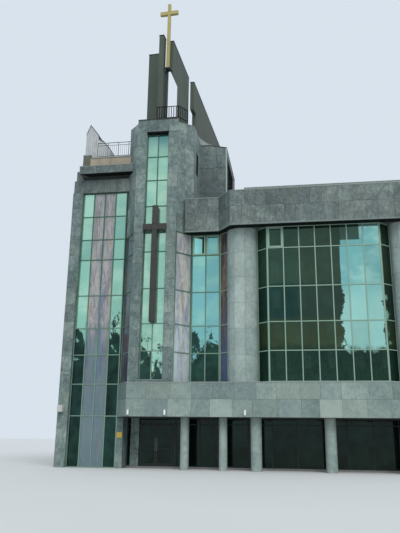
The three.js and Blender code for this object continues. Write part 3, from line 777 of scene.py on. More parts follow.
BLADE_CONCRETE = PlainFinish(
    "blade_concrete",
    *tints((60, 70, 60), (76, 87, 76), (45, 51, 43)),
    grain=38.0, marks=0.35, lift=1.2, seam=1.55, rough=0.72,
)
# Dark boards of painted shade under the frieze and the cornice.
SHADE_BOARD = PlainFinish(
    "shade_board", *tints((14, 20, 19), (22, 29, 27), (10, 14, 13)), shine=0.1
)
SOFFIT_BOARD = PlainFinish(
    "soffit_board", *tints((52, 58, 56), (74, 80, 77), (34, 38, 37)), seam=0.9, marks=0.3
)
ROOF_MEMBRANE = PlainFinish(
    "roof_membrane",
    *tints((112, 114, 112), (144, 145, 141), (82, 84, 82)),
    grain=110.0, seam=1.05, relief=0.006,
)
SAND_PLASTER = PlainFinish(
    "sand_plaster", *tints((146, 137, 119), (170, 159, 138), (104, 97, 84)), grain=90.0
)
PARTY_RENDER = PlainFinish(
    "party_render",
    *tints((138, 136, 126), (168, 165, 153), (106, 104, 96)),
    grain=80.0, marks=0.45, relief=0.006,
)
CAP_METAL = MetalFinish("cap_metal", *tints((138, 148, 144), (92, 98, 94)), 0.35, 0.5)
STONE_TRIM = MetalFinish("stone_trim", *tints((116, 128, 124), (84, 92, 88)), 0.0, 0.6, 0.6)
COLUMN_STEEL = MetalFinish("column_steel", *tints((52, 60, 62), (80, 86, 84)), 0.3, 0.5)
DARK_CAP = MetalFinish("dark_cap", *tints((48, 50, 47), (80, 80, 72)), 0.4, 0.5)
GREEN_FRAME = MetalFinish(
    "green_frame", *tints((62, 104, 84), (110, 128, 112)), 0.35, 0.42, low=colour(120, 150, 132)
)
PALE_FRAME = MetalFinish(
    "pale_frame", *tints((132, 160, 142), (158, 170, 156)), 0.3, 0.45, low=colour(132, 162, 144)
)
DARK_FRAME = MetalFinish("dark_frame", *tints((34, 42, 39), (66, 72, 66)), 0.4, 0.5)
PALE_SHEET = MetalFinish("pale_sheet", *tints((150, 168, 160), (110, 122, 116)), 0.2, 0.5, 0.5)
RAILING_PAINT = MetalFinish("railing_paint", *tints((72, 78, 80), (110, 108, 100)), 0.4, 0.5)
# Black paint on the railing and grille, and painted shade at the window's head, in the stair
# tower's niche and in the side slot.
BLACK_PAINT_AND_SHADE = MetalFinish("black_paint_and_shade", *tints((8, 10, 10), (26, 27, 26)), 0.0, 0.6, shine=0.08)
BROWN_PANEL = MetalFinish(
    "brown_panel", *tints((51, 52, 48), (78, 78, 72)), 0.2, 0.5, low=colour(54, 49, 45)
)
GILT = MetalFinish("gilt", *tints((170, 158, 102), (116, 108, 70)), 0.45, 0.4, 0.4)
BRASS = MetalFinish("brass_plate", *tints((196, 164, 82), (130, 108, 58)), 0.8, 0.35)
RIBBED_SHEET = MetalFinish("ribbed_sheet", *tints((186, 190, 190), (130, 130, 130)), 0.2, 0.5, 0.6)
LAMP_WHITE = MetalFinish(
    "lamp_white", *tints((226, 230, 226), (180, 182, 172)), 0.0, 0.35, 0.25, 0.5
)
UNIT_PAINT = MetalFinish("unit_paint", *tints((186, 188, 180), (140, 138, 126)), 0.0, 0.5, 0.5)
# The panes' colours are painted reflections: a sky, a cloud and a lean tint, over shade tints by
# height.
MINT_GLASS = GlassFinish(
    "mint_panes",
    *tints((158, 212, 190), (182, 228, 204), (104, 170, 172)),
    tints((30, 58, 52), (38, 78, 64)),
    low=4.6, high=10.4,
)
TOWER_GLASS = GlassFinish(
    "tower_panes",
    *tints((162, 212, 188), (190, 230, 204), (80, 142, 148)),
    tints((44, 74, 66), (44, 84, 70)),
    low=2.9, high=9.4,
)
CYAN_GLASS = GlassFinish(
    "cyan_panes",
    *tints((130, 194, 192), (152, 208, 194), (110, 176, 196)),
    tints((36, 66, 56), (44, 80, 70)),
    low=4.8, high=9.2,
)
# The open light glows: a painted reflection of bright sky in its shaded reveal.
LIGHT_GLASS = GlassFinish(
    "open_light_pane",
    *tints((140, 214, 214), (152, 220, 216), (132, 210, 216)),
    CYAN_GLASS.deep,
    low=0.0, high=1.0, metallic=0.1, glow=0.6,
)
SHADED_GLASS = GlassFinish(
    "shaded_panes",
    *tints((128, 192, 188), (170, 220, 206), (118, 184, 192)),
    tints(
        (40, 72, 58), (32, 62, 50), (68, 86, 60), (60, 80, 58),
        (32, 66, 60), (34, 70, 62), (60, 88, 72), (54, 84, 70),
    ),
    (4.5, 6.1, 6.5, 7.7, 8.0, 9.7, 9.9, 13.1),
    Sky.SHADE_WITH_GAP,
)
REAR_GLASS = GlassFinish(
    "rear_panes",
    *tints((120, 170, 158), (140, 186, 172), (104, 150, 156)),
    tints((44, 70, 62), (62, 98, 86)),
    sky=Sky.SHADE,
)
DIM_GLASS = GlassFinish(
    "dim_panes",
    *tints((44, 70, 60), (54, 82, 70), (40, 62, 60)),
    tints((18, 36, 29), (22, 40, 32)),
    (0.0, 4.5),
    Sky.SHADE,
    metallic=0.65,
)
WING_PAINTED_GLASS = ColouredGlassFinish(
    "wing_painted_panes",
    tints(
        (96, 98, 96), (142, 142, 138), (124, 128, 136),
        (172, 168, 162), (144, 132, 124), (188, 188, 182),
    ),
    colour(84, 110, 118),
    tints((118, 100, 78), (62, 80, 138)),
)
DUSKY_PAINTED_GLASS = ColouredGlassFinish(
    "dusky_painted_panes",
    tints((30, 28, 36), (88, 70, 74), (52, 54, 96), (142, 122, 116), (62, 58, 72)),
    colour(52, 66, 72),
    tints((124, 84, 78), (60, 58, 136)),
    period=0.5, sway=0.1, fade=0.3,
)
PALE_PAINTED_GLASS = ColouredGlassFinish(
    "pale_painted_panes",
    tints(
        (120, 126, 126), (178, 180, 174), (150, 156, 162),
        (206, 204, 194), (172, 162, 148), (222, 224, 216),
    ),
    colour(190, 203, 206),
    tints((136, 118, 104), (92, 112, 168)),
    period=0.8, sway=0.12,
)
RUSSET_PAINTED_GLASS = ColouredGlassFinish(
    "russet_painted_panes",
    tints(
        (34, 30, 30), (72, 56, 50), (46, 46, 54),
        (128, 106, 92), (52, 44, 40), (96, 74, 60),
    ),
    colour(66, 80, 118),
    tints((104, 66, 50), (54, 62, 104)),
    period=0.5, sway=0.08,
)


class Solids:
    """Closed shells gathered into one object."""

    def __init__(self) -> None:
        """Starts empty."""
        self.points: list[Vector] = []
        self.faces: list[list[int]] = []
        self.tones: list[Tone] = []

    def tube(self, rings: Sequence[Sequence[Vector]], tone: Tone = (0.5, 0.5, 0.0)) -> None:
        """Adds one closed shell through rings of equal length, capped at both ends.

        Args:
            rings: The rings' points, in order along the shell.
            tone: The tone, warmth and seed of its faces.
        """
        start, count = len(self.points), len(rings[0])
        for ring in rings:
            self.points.extend(Vector(p) for p in ring)
        faces = [list(range(start, start + count))]
        last = start + (len(rings) - 1) * count
        for a in range(start, last, count):
            for i in range(count):
                j = (i + 1) % count
                faces.append([a + i, a + j, a + count + j, a + count + i])
        faces.append(list(range(last, last + count)))
        self.faces += faces
        self.tones += [tone] * len(faces)

    def block(self, low: Sequence[float], high: Sequence[float], edge: float = 0.006) -> None:
        """Adds a block between two opposite corners, with every edge cut back.

        Args:
            low: One corner.
            high: The other.
            edge: How far the edges are cut.
        """
        (x0, x1), (y0, y1), (z0, z1) = (sorted(pair) for pair in zip(low, high))
        rings = []
        for height, inset in ((z0, edge), (z0 + edge, 0.0), (z1 - edge, 0.0), (z1, edge)):
            a, b, c, d = x0 + inset, x1 - inset, y0 + inset, y1 - inset
            corners = (
                (a + edge, c), (b - edge, c), (b, c + edge), (b, d - edge),
                (b - edge, d), (a + edge, d), (a, d - edge), (a, c + edge),
            )
            rings.append([Vector((x, y, height)) for x, y in corners])
        self.tube(rings)

    def rod(
        self, start: Sequence[float], end: Sequence[float], radius: float, sides: int = 10
    ) -> None:
        """Adds a round rod between two points.

        Args:
            start: One end.
            end: The other end.
            radius: Its radius.
            sides: How many faces go round it.
        """
        a, b = Vector(start), Vector(end)
        along = (b - a).normalized()
        side = along.orthogonal().normalized()
        other = along.cross(side)
        turns = [2 * math.pi * i / sides for i in range(sides)]
        rims = [(side * math.cos(t) + other * math.sin(t)) * radius for t in turns]
        self.tube([[a + rim for rim in rims], [b + rim for rim in rims]])

    def make(
        self,
        name: str,
        finish: Finish,
        body: str = "building",
        replaces: Sequence[str] = (),
        matrix: Matrix | None = None,
    ) -> None:
        """Makes the object, places it about the tower and lets it ride on its body.

        Args:
            name: The piece's name.
            finish: Its finish.
            body: The body that it rides on.
            replaces: The nodes that it stands for.
            matrix: A turn and move of its own, about the tower.
        """
        placed = Matrix.Translation(ORIGIN) @ (matrix or Matrix.Identity(4))
        mesh = bpy.data.meshes.new(name)
        mesh.from_pydata([placed @ p for p in self.points], [], self.faces)
        tones = mesh.attributes.new("tone", "FLOAT_VECTOR", "FACE")
        tones.data.foreach_set("vector", [part for tone in self.tones for part in tone])
        shaped = bmesh.new()
        shaped.from_mesh(mesh)
        bmesh.ops.recalc_face_normals(shaped, faces=shaped.faces)
        shaped.to_mesh(mesh)
        shaped.free()
        mesh.shade_smooth()
        mesh.set_sharp_from_angle(angle=math.radians(30))
        mesh.materials.append(material_of(finish))
        piece = bpy.data.objects.new(name, mesh)
        bpy.context.scene.collection.objects.link(piece)
        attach(piece, body)
        if replaces:
            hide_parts(*replaces)
        log.info("%s: %d faces", name, len(self.faces))


@dataclass(frozen=True)
class WallPath:
    """The outer line of an upright wall in plan.

    Args:
        points: The line's corners, with the outside on the right hand of travel.
    """

    points: tuple[Point, ...]

    def marks(self) -> list[float]:
        """Gives each corner's distance along the line."""
        lengths = (math.dist(a, b) for a, b in pairwise(self.points))
        return list(accumulate(lengths, initial=0.0))

    def _outward(self, corner: int) -> Vector:
        """Finds the mitred direction that leaves the wall at a corner.

        Args:
            corner: The corner's number.

        Returns:
            The direction, as long as the mitre needs for a depth of 1.
        """
        normals = []
        for i in (corner - 1, corner):
            if 0 <= i < len(self.points) - 1:
                (ax, ay), (bx, by) = self.points[i], self.points[i + 1]
                normals.append(Vector((by - ay, ax - bx, 0.0)).normalized())
        total = sum(normals, Vector())
        return total / (1.0 + normals[0].dot(normals[-1])) if len(normals) > 1 else total

    def at(self, along: float, height: float, depth: float) -> Vector:
        """Finds a point on or before the wall.

        Args:
            along: Its distance along the line.
            height: Its height.
            depth: How far it stands out.

        Returns:
            The point.
        """
        marks = self.marks()
        i = max(k for k in range(len(marks) - 1) if marks[k] <= along + 1e-9 or k == 0)
        share = (along - marks[i]) / (marks[i + 1] - marks[i])
        a, b = (Vector((*self.points[k], height)) + self._outward(k) * depth for k in (i, i + 1))
        return a.lerp(b, share)

    def level(self, along: float, heights: Sequence[float]) -> float:
        """Reads a height that runs straight from corner to corner."""
        return straight(along, self.marks(), heights)

    def breaks(self, start: float, end: float) -> list[float]:
        """Gives the start, the corners between and the end."""
        between = [m for m in self.marks() if start + 1e-4 < m < end - 1e-4]
        return [start, *between, end]


@dataclass(frozen=True)
class Opening:
    """A rectangle in a wall, by distance along it and height."""

    start: float
    end: float
    bottom: float
    top: float

    def clear(self, other: "Opening") -> "list[Opening]":
        """Cuts this rectangle out of another one.

        Args:
            other: The other one.

        Returns:
            What is left of it, in rectangles that are large enough to be worth a slab.
        """
        s, e = max(self.start, other.start), min(self.end, other.end)
        b, t = max(self.bottom, other.bottom), min(self.top, other.top)
        if s >= e - 1e-6 or b >= t - 1e-6:
            return [other]
        parts = [
            Opening(other.start, s, other.bottom, other.top),
            Opening(e, other.end, other.bottom, other.top),
            Opening(s, e, other.bottom, b),
            Opening(s, e, t, other.top),
        ]
        least = 0.02
        return [p for p in parts if p.end - p.start > least and p.top - p.bottom > least]


def sweep(
    solids: Solids,
    path: WallPath,
    section: Sequence[Point],
    span: Sequence[float] = (),
    tone: Tone = (0.5, 0.5, 0.0),
    base: float | Sequence[float] = 0.0,
) -> None:
    """Runs a section of depths and heights along a wall.

    Args:
        solids: Where it goes.
        path: The wall's line.
        section: Its outline, as depth and height.
        span: Where it begins and ends along the line, or none for the whole line.
        tone: Its tone, warmth and seed.
        base: What the section's heights are measured from, or that at each corner.
    """
    start, end = span or (0.0, path.marks()[-1])
    rings = []
    for along in path.breaks(start, end):
        foot = base if isinstance(base, float) else path.level(along, base)
        rings.append([path.at(along, foot + z, d) for d, z in section])
    solids.tube(rings, tone)


def flat_section(near: float, far: float, low: float, high: float) -> list[Point]:
    """Gives a rectangle's section between two depths and two heights."""
    return [(near, low), (near, high), (far, high), (far, low)]


def sill_section(front: float, back: float) -> list[Point]:
    """Gives a sill's section, which falls toward its front."""
    return [(front, 0.0), (front, 0.03), (-back, 0.05), (-back, 0.0)]


def equal(start: float, end: float, count: int) -> list[float]:
    """Gives the ends of that many equal parts between two values."""
    return [start + (end - start) * i / count for i in range(count + 1)]


def courses(bottom: float, top: float, height: float) -> list[float]:
    """Splits a height or a length into even courses.

    Args:
        bottom: The foot of the lowest course.
        top: The head of the highest.
        height: About how high a course is.

    Returns:
        The heights between courses, ends included.
    """
    return equal(bottom, top, max(1, round((top - bottom) / height)))


def line(*points: Point) -> WallPath:
    """Makes a wall's line of its corners."""
    return WallPath(points)


@dataclass
class Cladding:
    """Stone slabs in courses over a wall, each a solid of its own.

    Args:
        name: The piece's name.
        finish: The stone.
        path: The wall's line.
        courses: The heights between courses.
        stops: Where every course has a joint, ends included, or none for the line's corners.
        width: About how wide a slab is.
        openings: What the slabs leave free.
        tones: The middle tone of each stretch between stops.
        warmths: The middle warmth of each stretch.
        spread: How far a slab's tone may lie from the middle.
        seed: The seed of the slabs' widths and tones.
        thickness: How far the slabs stand out.
        joint: The width of the joints.
        edge: How far the slabs' edges are cut back.
        uneven: How far the widths vary.
        tops: What no slab may rise over, by distance along the wall.
    """

    name: str
    finish: Finish
    path: WallPath
    courses: Sequence[float]
    stops: Sequence[float] = ()
    width: float = 0.9
    openings: Sequence[Opening] = ()
    tones: Sequence[float] = (0.5,)
    warmths: Sequence[float] = (0.5,)
    spread: float = 0.5
    seed: int = 1
    thickness: float = SLAB_THICKNESS
    joint: float = 0.007
    edge: float = 0.004
    uneven: float = 0.12
    tops: Callable[[float], float] | None = None

    def _lay(self) -> list[tuple[Opening, Tone]]:
        """Sets out the slabs, as if the wall had no opening.

        Returns:
            Each slab with its tone, warmth and seed.
        """
        slabs = []
        draw = random.Random(self.seed)
        stops = self.stops or self.path.marks()
        for bottom, top in pairwise(self.courses):
            for i, (start, end) in enumerate(pairwise(stops)):
                cuts = courses(start, end, self.width)
                for k in range(1, len(cuts) - 1):
                    pitch = (end - start) / (len(cuts) - 1)
                    cuts[k] += draw.uniform(-1, 1) * self.uneven * pitch
                for a, b in pairwise(cuts):
                    tone = self.tones[i % len(self.tones)] + draw.uniform(-1, 1) * self.spread
                    warmth = self.warmths[i % len(self.warmths)] + draw.uniform(-0.45, 0.45)
                    slabs.append((Opening(a, b, bottom, top), (tone, warmth, draw.random())))
        return slabs

    def _slab(self, solids: Solids, slab: Opening, tone: Tone) -> None:
        """Adds one slab with cut edges.

        Args:
            solids: Where it goes.
            slab: The slab.
            tone: Its tone, warmth and seed.
        """
        half = self.joint / 2
        a, b = slab.start + half, slab.end - half
        bottom, top = slab.bottom + half, slab.top - half
        out = self.thickness + (tone[2] - 0.5) * 0.004
        edge = self.edge
        inner = self.path.breaks(a + edge, b - edge)
        rings = []
        for along, face in ((a, out - edge), *((m, out) for m in inner), (b, out - edge)):
            head = min(top, self.tops(along)) if self.tops else top
            section = (
                (-BEDDING, bottom), (out - edge, bottom), (face, bottom + edge),
                (face, head - edge), (out - edge, head), (-BEDDING, head),
            )
            rings.append([self.path.at(along, z, d) for d, z in section])
        solids.tube(rings, tone)

    def build(self) -> None:
        """Makes the piece."""
        solids = Solids()
        for slab, tone in self._lay():
            left = [slab]
            for opening in self.openings:
                left = [part for whole in left for part in opening.clear(whole)]
            for part in left:
                self._slab(solids, part, tone)
        solids.make(self.name, self.finish)


@dataclass(frozen=True)
class Facet:
    """One flat glazed facet between two plan points, with even columns and shared transoms.

    Args:
        start: Its left end in plan, seen from outside.
        end: Its right end.
        bottom: Its foot.
        top: Its head.
        columns: How many columns it has.
        transoms: The heights of its rails.
        back: How far its face lies behind the line.
        bar: The width of its bars.
        depth: Their depth.
        open_cells: Columns and rows, from the bottom, that have no pane.
    """

    start: Point
    end: Point
    bottom: float
    top: float
    columns: int
    transoms: tuple[float, ...] = TRANSOMS
    back: float = 0.0
    bar: float = 0.06
    depth: float = 0.1
    open_cells: tuple[tuple[int, int], ...] = ()

    @property
    def path(self) -> WallPath:
        """The facet's line."""
        return WallPath((self.start, self.end))

    @property
    def length(self) -> float:
        """The facet's length."""
        return math.dist(self.start, self.end)

    def uprights(self) -> list[float]:
        """Gives the middle of each upright along the facet."""
        return equal(self.bar / 2, self.length - self.bar / 2, self.columns)

    def rails(self) -> list[float]:
        """Gives the middle height of each rail."""
        return [self.bottom + self.bar / 2, *self.transoms, self.top - self.bar / 2]

    def frame(self, solids: Solids) -> None:
        """Adds the bars: a body between the panes and a cap in front of them.

        Args:
            solids: Where they go.
        """
        face, half, lip = -self.back, self.bar / 2, 0.005
        rear, shoulder, body = face - self.depth, face - 0.03, half * 0.72
        upright = (
            (-body, rear), (body, rear), (body, shoulder), (half, shoulder),
            (half, face - lip), (half - lip, face), (lip - half, face),
            (-half, face - lip), (-half, shoulder), (-body, shoulder),
        )
        ends = (self.bottom, self.top)
        for middle in self.uprights():
            solids.tube([[self.path.at(middle + u, z, d) for u, d in upright] for z in ends])
        slim = 0.003
        face, half = face - slim, half - slim
        rail = (
            (rear, -body), (shoulder, -body), (shoulder, -half), (face - lip, -half),
            (face, lip - half), (face, half - lip), (face - lip, half),
            (shoulder, half), (shoulder, body), (rear, body),
        )
        for height in self.rails():
            sweep(solids, self.path, rail, base=height)

    def panes(self, solids: Solids, draw: random.Random) -> None:
        """Adds the panes, each set a hair out of true.

        Args:
            solids: Where they go.
            draw: The draw of tilts and tones.
        """
        behind = -self.back - 0.038
        cover = self.bar * 0.324
        for column, (a, b) in enumerate(pairwise(self.uprights())):
            for row, (low, high) in enumerate(pairwise(self.rails())):
                tone = (draw.uniform(0.0, 1.0), draw.random(), draw.random())
                tilt = [draw.uniform(-0.002, 0.002) for _ in range(4)]
                if (column, row) in self.open_cells:
                    continue
                x0, x1, z0, z1 = a + cover, b - cover, low + cover, high - cover
                corners = ((x0, z0), (x1, z0), (x1, z1), (x0, z1))
                rings = [
                    [self.path.at(x, z, depth + off) for (x, z), off in zip(corners, tilt)]
                    for depth in (behind, behind - 0.012)
                ]
                solids.tube(rings, tone)


@dataclass
class Glazing:
    """Facets that share one frame piece and one piece of panes.

    Args:
        name: The start of the two pieces' names.
        facets: The facets.
        frame_finish: The bars' finish.
        pane_finish: The panes' finish.
        node: The node that the frame stands for.
        seed: The seed of the panes' tilts and tones.
    """

    name: str
    facets: Sequence[Facet]
    frame_finish: Finish
    pane_finish: Finish
    node: str
    seed: int

    def build(self) -> None:
        """Makes the frame and the panes."""
        draw = random.Random(self.seed)
        bars, panes = Solids(), Solids()
        for facet in self.facets:
            facet.frame(bars)
            facet.panes(panes, draw)
        bars.make(f"{self.name}_frame", self.frame_finish, replaces=(self.node,))
        panes.make(f"{self.name}_panes", self.pane_finish)


@dataclass
class Capping:
    """A sheet cap along the top of a wall, in lengths with fine joints.

    Args:
        name: The piece's name.
        finish: Its metal or stone.
        runs: Each wall's line and the height that the cap lies on, or a height for each corner.
        inner: How far the cap reaches behind the line.
        lap: How far it stands out.
        lip: How far its front hangs down.
        sheet: Its thickness.
        length: About how long one length is.
    """

    name: str
    finish: Finish
    runs: Sequence[tuple[WallPath, float | tuple[float, ...]]]
    inner: float = 0.34
    lap: float = 0.035
    lip: float = 0.05
    sheet: float = 0.02
    length: float = 2.4

    def build(self) -> None:
        """Makes the piece."""
        solids = Solids()
        fall, bed, joint = 0.012, 0.002, 0.003
        section = [
            (-self.inner, bed), (self.lap - self.sheet, bed), (self.lap - self.sheet, -self.lip),
            (self.lap, -self.lip), (self.lap, self.sheet), (-self.inner, self.sheet + fall),
        ]
        for path, height in self.runs:
            cuts = courses(0.0, path.marks()[-1], self.length)
            for i, (a, b) in enumerate(pairwise(cuts)):
                tone = (0.5, 0.5, i / (len(cuts) - 1))
                sweep(solids, path, section, (a + joint, b - joint), tone, height)
        solids.make(self.name, self.finish)


def dress(finish: Finish, *nodes: str) -> None:
    """Gives carried-over nodes a finish.

    Args:
        finish: The finish.
        nodes: The nodes' names.
    """
    for name in nodes:
        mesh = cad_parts[name].data
        mesh.materials.clear()
        mesh.materials.append(material_of(finish))
    log.info("%s on %s", finish.name, ", ".join(nodes))


def sash_frame(solids: Solids, left: float, right: float, front: float) -> None:
    """Adds the four bars of an upper sash on a wall that faces the street.

    Args:
        solids: Where they go.
        left: The middle of the upright on its left.
        right: The middle of the upright on its right.
        front: The face of the wall's bars.
    """
    half, bar, edge = 0.03, 0.085, 0.004
    x0, x1, z0, z1 = left + half, right - half, TRANSOMS[3] + half, FRIEZE_BOTTOM - 2 * half
    y0, y1 = front - 0.008, front + 0.037
    solids.block((x0, y0, z0), (x0 + bar, y1, z1), edge)
    solids.block((x1 - bar, y0, z0), (x1, y1, z1), edge)
    solids.block((x0 + bar, y0, z0), (x1 - bar, y1, z0 + bar), edge)
    solids.block((x0 + bar, y0, z1 - bar), (x1 - bar, y1, z1), edge)


@dataclass
class Tower:
    """The front tower: stone, tall window, wall cross, railing and long sides."""

    window_half: float = 0.68
    window_sill: float = 4.62
    window_head: float = 19.55
    window_back: float = 0.18
    cross_front: float = -0.17
    cross_half: float = 0.15
    cross_joints: tuple[float, ...] = (7.8, 9.55, 11.35, 13.2, 13.56, 14.7)
    cross_pins: tuple[float, ...] = (8.3, 10.4, 12.6, 14.3)
    arms: Point = (13.2, 13.56)
    arm_half: float = 0.69
    railing_height: float = 0.9
    vent: tuple[float, float, float, float] = (2.0, 2.75, 17.55, 19.05)
    first_course: float = 14.1
    left_front: float = 1.47
    cap_front: float = 1.7

    def build(self) -> None:
        """Makes the tower's pieces."""
        self._stone()
        self._reveals()
        self._window()
        self._cross()
        self._railing()
        self._sides()

    def _stone(self) -> None:
        """Clads and caps the front piers and the folded top."""
        half, low = self.window_half, TOWER_TOP - CHEEK_DROP
        front = line((-FRONT_HALF, 0.0), (FRONT_HALF, 0.0))
        hole = Opening(FRONT_HALF - half, FRONT_HALF + half, self.window_sill, self.window_head)
        Cladding(
            "tower_lower_slabs", TOWER_STONE, front, courses(SILL, FRIEZE_BOTTOM, 0.96),
            (0.0, hole.start, hole.end, 2 * FRONT_HALF), width=0.6, openings=(hole,),
            tones=(0.12, 0.5, 0.52), warmths=(0.42, 0.5, 0.5), seed=11,
        ).build()
        path = line((-TOWER_HALF, CHEEK_BACK), *front.points, (TOWER_HALF, CHEEK_BACK))
        marks = path.marks()
        start, end = marks[1] + hole.start, marks[1] + hole.end
        upper = Opening(start, end, FRIEZE_BOTTOM - 1.0, self.window_head)

        def tops(along: float) -> float:
            """Gives the wall's top, which falls along each cheek toward the front."""
            on_front = marks[1] <= along < marks[2]
            return TOWER_TOP if on_front else path.level(along, (TOWER_TOP, low, low, TOWER_TOP))

        Cladding(
            "tower_upper_slabs", TOWER_STONE, path,
            [*courses(FRIEZE_BOTTOM, self.window_head, 0.98), TOWER_TOP],
            (0.0, marks[1], start, end, marks[2], marks[3]), width=0.72, openings=(upper,),
            tones=(0.4, 0.34, -0.28, 0.55, 0.8), warmths=(0.4, 0.42, 0.4, 0.5, 0.56), seed=12,
            tops=tops,
        ).build()
        Capping("tower_front_cap", DARK_CAP, [(front, TOWER_TOP)], inner=0.3, lip=0.06).build()
        left, right = line(*path.points[:2]), line(*path.points[2:])
        cheeks = [(left, (TOWER_TOP, low)), (right, (low, TOWER_TOP))]
        Capping("tower_cheek_caps", STONE_TRIM, cheeks, inner=0.28, lap=0.03, lip=0.025).build()

    def _reveals(self) -> None:
        """Lines the window's sides and sill, and puts a black band of painted shade under its head.
        """
        half, back, head = self.window_half, self.window_back, self.window_head
        gap, lining = 0.003, 0.018
        sides = Solids()
        for side in (-1, 1):
            ends = [(side * half, 0.0), (side * half, back)]
            path = line(*(ends if side < 0 else reversed(ends)))
            for i, (low, high) in enumerate(pairwise(courses(self.window_sill, head, 1.95))):
                section = flat_section(-BEDDING, lining, low + gap, high - gap)
                sweep(sides, path, section, tone=(0.35, 0.4, i / 9))
        sides.make("tower_window_reveals", TOWER_STONE)
        # A black band of painted shade under the window's head.
        dark = Solids()
        dark.block((-half, -0.012, head - 0.12), (half, back, head + 0.006))
        dark.make("tower_window_head_shade", BLACK_PAINT_AND_SHADE)
        sill, path = Solids(), line((-half, 0.0), (half, 0.0))
        sweep(sill, path, sill_section(0.04, back), base=self.window_sill)
        sill.make("tower_window_sill", CAP_METAL)

    def _window(self) -> None:
        """Glazes the tall window."""
        left, right = (-self.window_half, 0.0), (self.window_half, 0.0)
        heights = (self.window_sill, self.window_head)
        facet = Facet(left, right, *heights, 2, TOWER_TRANSOMS, self.window_back)
        Glazing("tower_window", [facet], GREEN_FRAME, TOWER_GLASS, "tower_window", 21).build()

    def _cross(self) -> None:
        """Makes the dark cross of folded panels on its pins."""
        solids = Solids()
        front, half, (low, high) = self.cross_front, self.cross_half, self.arms
        edge, pin_back = 0.008, 0.2
        for a, b in pairwise(self.cross_joints):
            solids.block((-half, front, a + 0.003), (half, 0.12, b - 0.003), edge)
        for side in (-1, 1):
            x0, x1 = side * (half + 0.004), side * self.arm_half
            solids.block((x0, front, low), (x1, -0.022, high), edge)
        for z in self.cross_pins:
            solids.rod((0.0, 0.1, z), (0.0, pin_back, z), 0.03)
        for x in (-0.62, 0.62):
            z = (low + high) / 2
            solids.rod((x, -0.03, z), (x, pin_back - 0.01, z), 0.02)
        solids.make("wall_cross_panels", BROWN_PANEL, replaces=("tower_wall_cross",))

    def _railing(self) -> None:
        """Makes the slim black railing on the tower's top."""
        solids = Solids()
        start, corner, end = (-0.13, 0.12), (1.21, 0.12), (1.67, 0.76)
        top = TOWER_TOP + self.railing_height
        for a, b, count in ((start, corner, 9), (corner, end, 5)):
            for height in (TOWER_TOP + 0.12, top - 0.02):
                solids.rod((*a, height), (*b, height), 0.024)
            for i in range(count + 1):
                x, y = (p + (q - p) * i / count for p, q in zip(a, b))
                on_cheek = a is corner and i > 0
                foot = TOWER_TOP - CHEEK_DROP + 0.28 * y if on_cheek else TOWER_TOP
                solids.rod((x, y, foot), (x, y, top), 0.03 if i in (0, count) else 0.022, 8)
        solids.make("tower_railing_bars", BLACK_PAINT_AND_SHADE, replaces=("tower_railing",))

    def _sides(self) -> None:
        """Clads and caps the tower's long sides above the wings' roofs."""
        y0, y1, low, high = self.vent
        openings = (
            Opening(STAIR_FRONT - CHEEK_BACK, STAIR_BACK - CHEEK_BACK, RIGHT_ROOF, TOWER_TOP),
            Opening(y0 - CHEEK_BACK, y1 - CHEEK_BACK, low, high),
            Opening(0.0, LEDGE_BACK - CHEEK_BACK, FRIEZE_BOTTOM, RIGHT_ROOF + 0.1),
        )
        whole = courses(self.first_course, self.window_head, 0.98)
        right = line((TOWER_HALF, CHEEK_BACK), (TOWER_HALF, REAR))
        Cladding(
            "tower_right_side_slabs", SIDE_STONE, right, [RIGHT_ROOF, *whole, TOWER_TOP],
            width=0.95, openings=openings, tones=(0.55,), seed=13,
        ).build()
        left = line((-TOWER_HALF, REAR), (-TOWER_HALF, self.left_front))
        heights = courses(LEFT_ROOF, TOWER_TOP, 0.9)
        Cladding("tower_left_side_slabs", SIDE_STONE, left, heights, width=0.95, seed=14).build()
        caps = [
            (line((TOWER_HALF, STAIR_BACK), (TOWER_HALF, REAR)), TOWER_TOP),
            (line((TOWER_HALF, self.cap_front), (TOWER_HALF, STAIR_FRONT)), TOWER_TOP),
            (line((-TOWER_HALF, REAR), (-TOWER_HALF, self.cap_front)), TOWER_TOP),
        ]
        Capping("tower_side_caps", CAP_METAL, caps, inner=0.3, lap=0.03, lip=0.04).build()
        # Painted shade: a black plate fills the slot behind the louvres.
        louvre = Solids()
        face, edge = TOWER_HALF + 0.006, 0.002
        louvre.block((TOWER_HALF, y0, low), (face, y1, high), edge)
        for z in courses(low, high, 0.15)[1:-1]:
            louvre.block((face + 0.001, y0, z), (face + 0.01, y1, z + 0.012), edge)
        louvre.make("slot_louvres_and_shade", BLACK_PAINT_AND_SHADE)


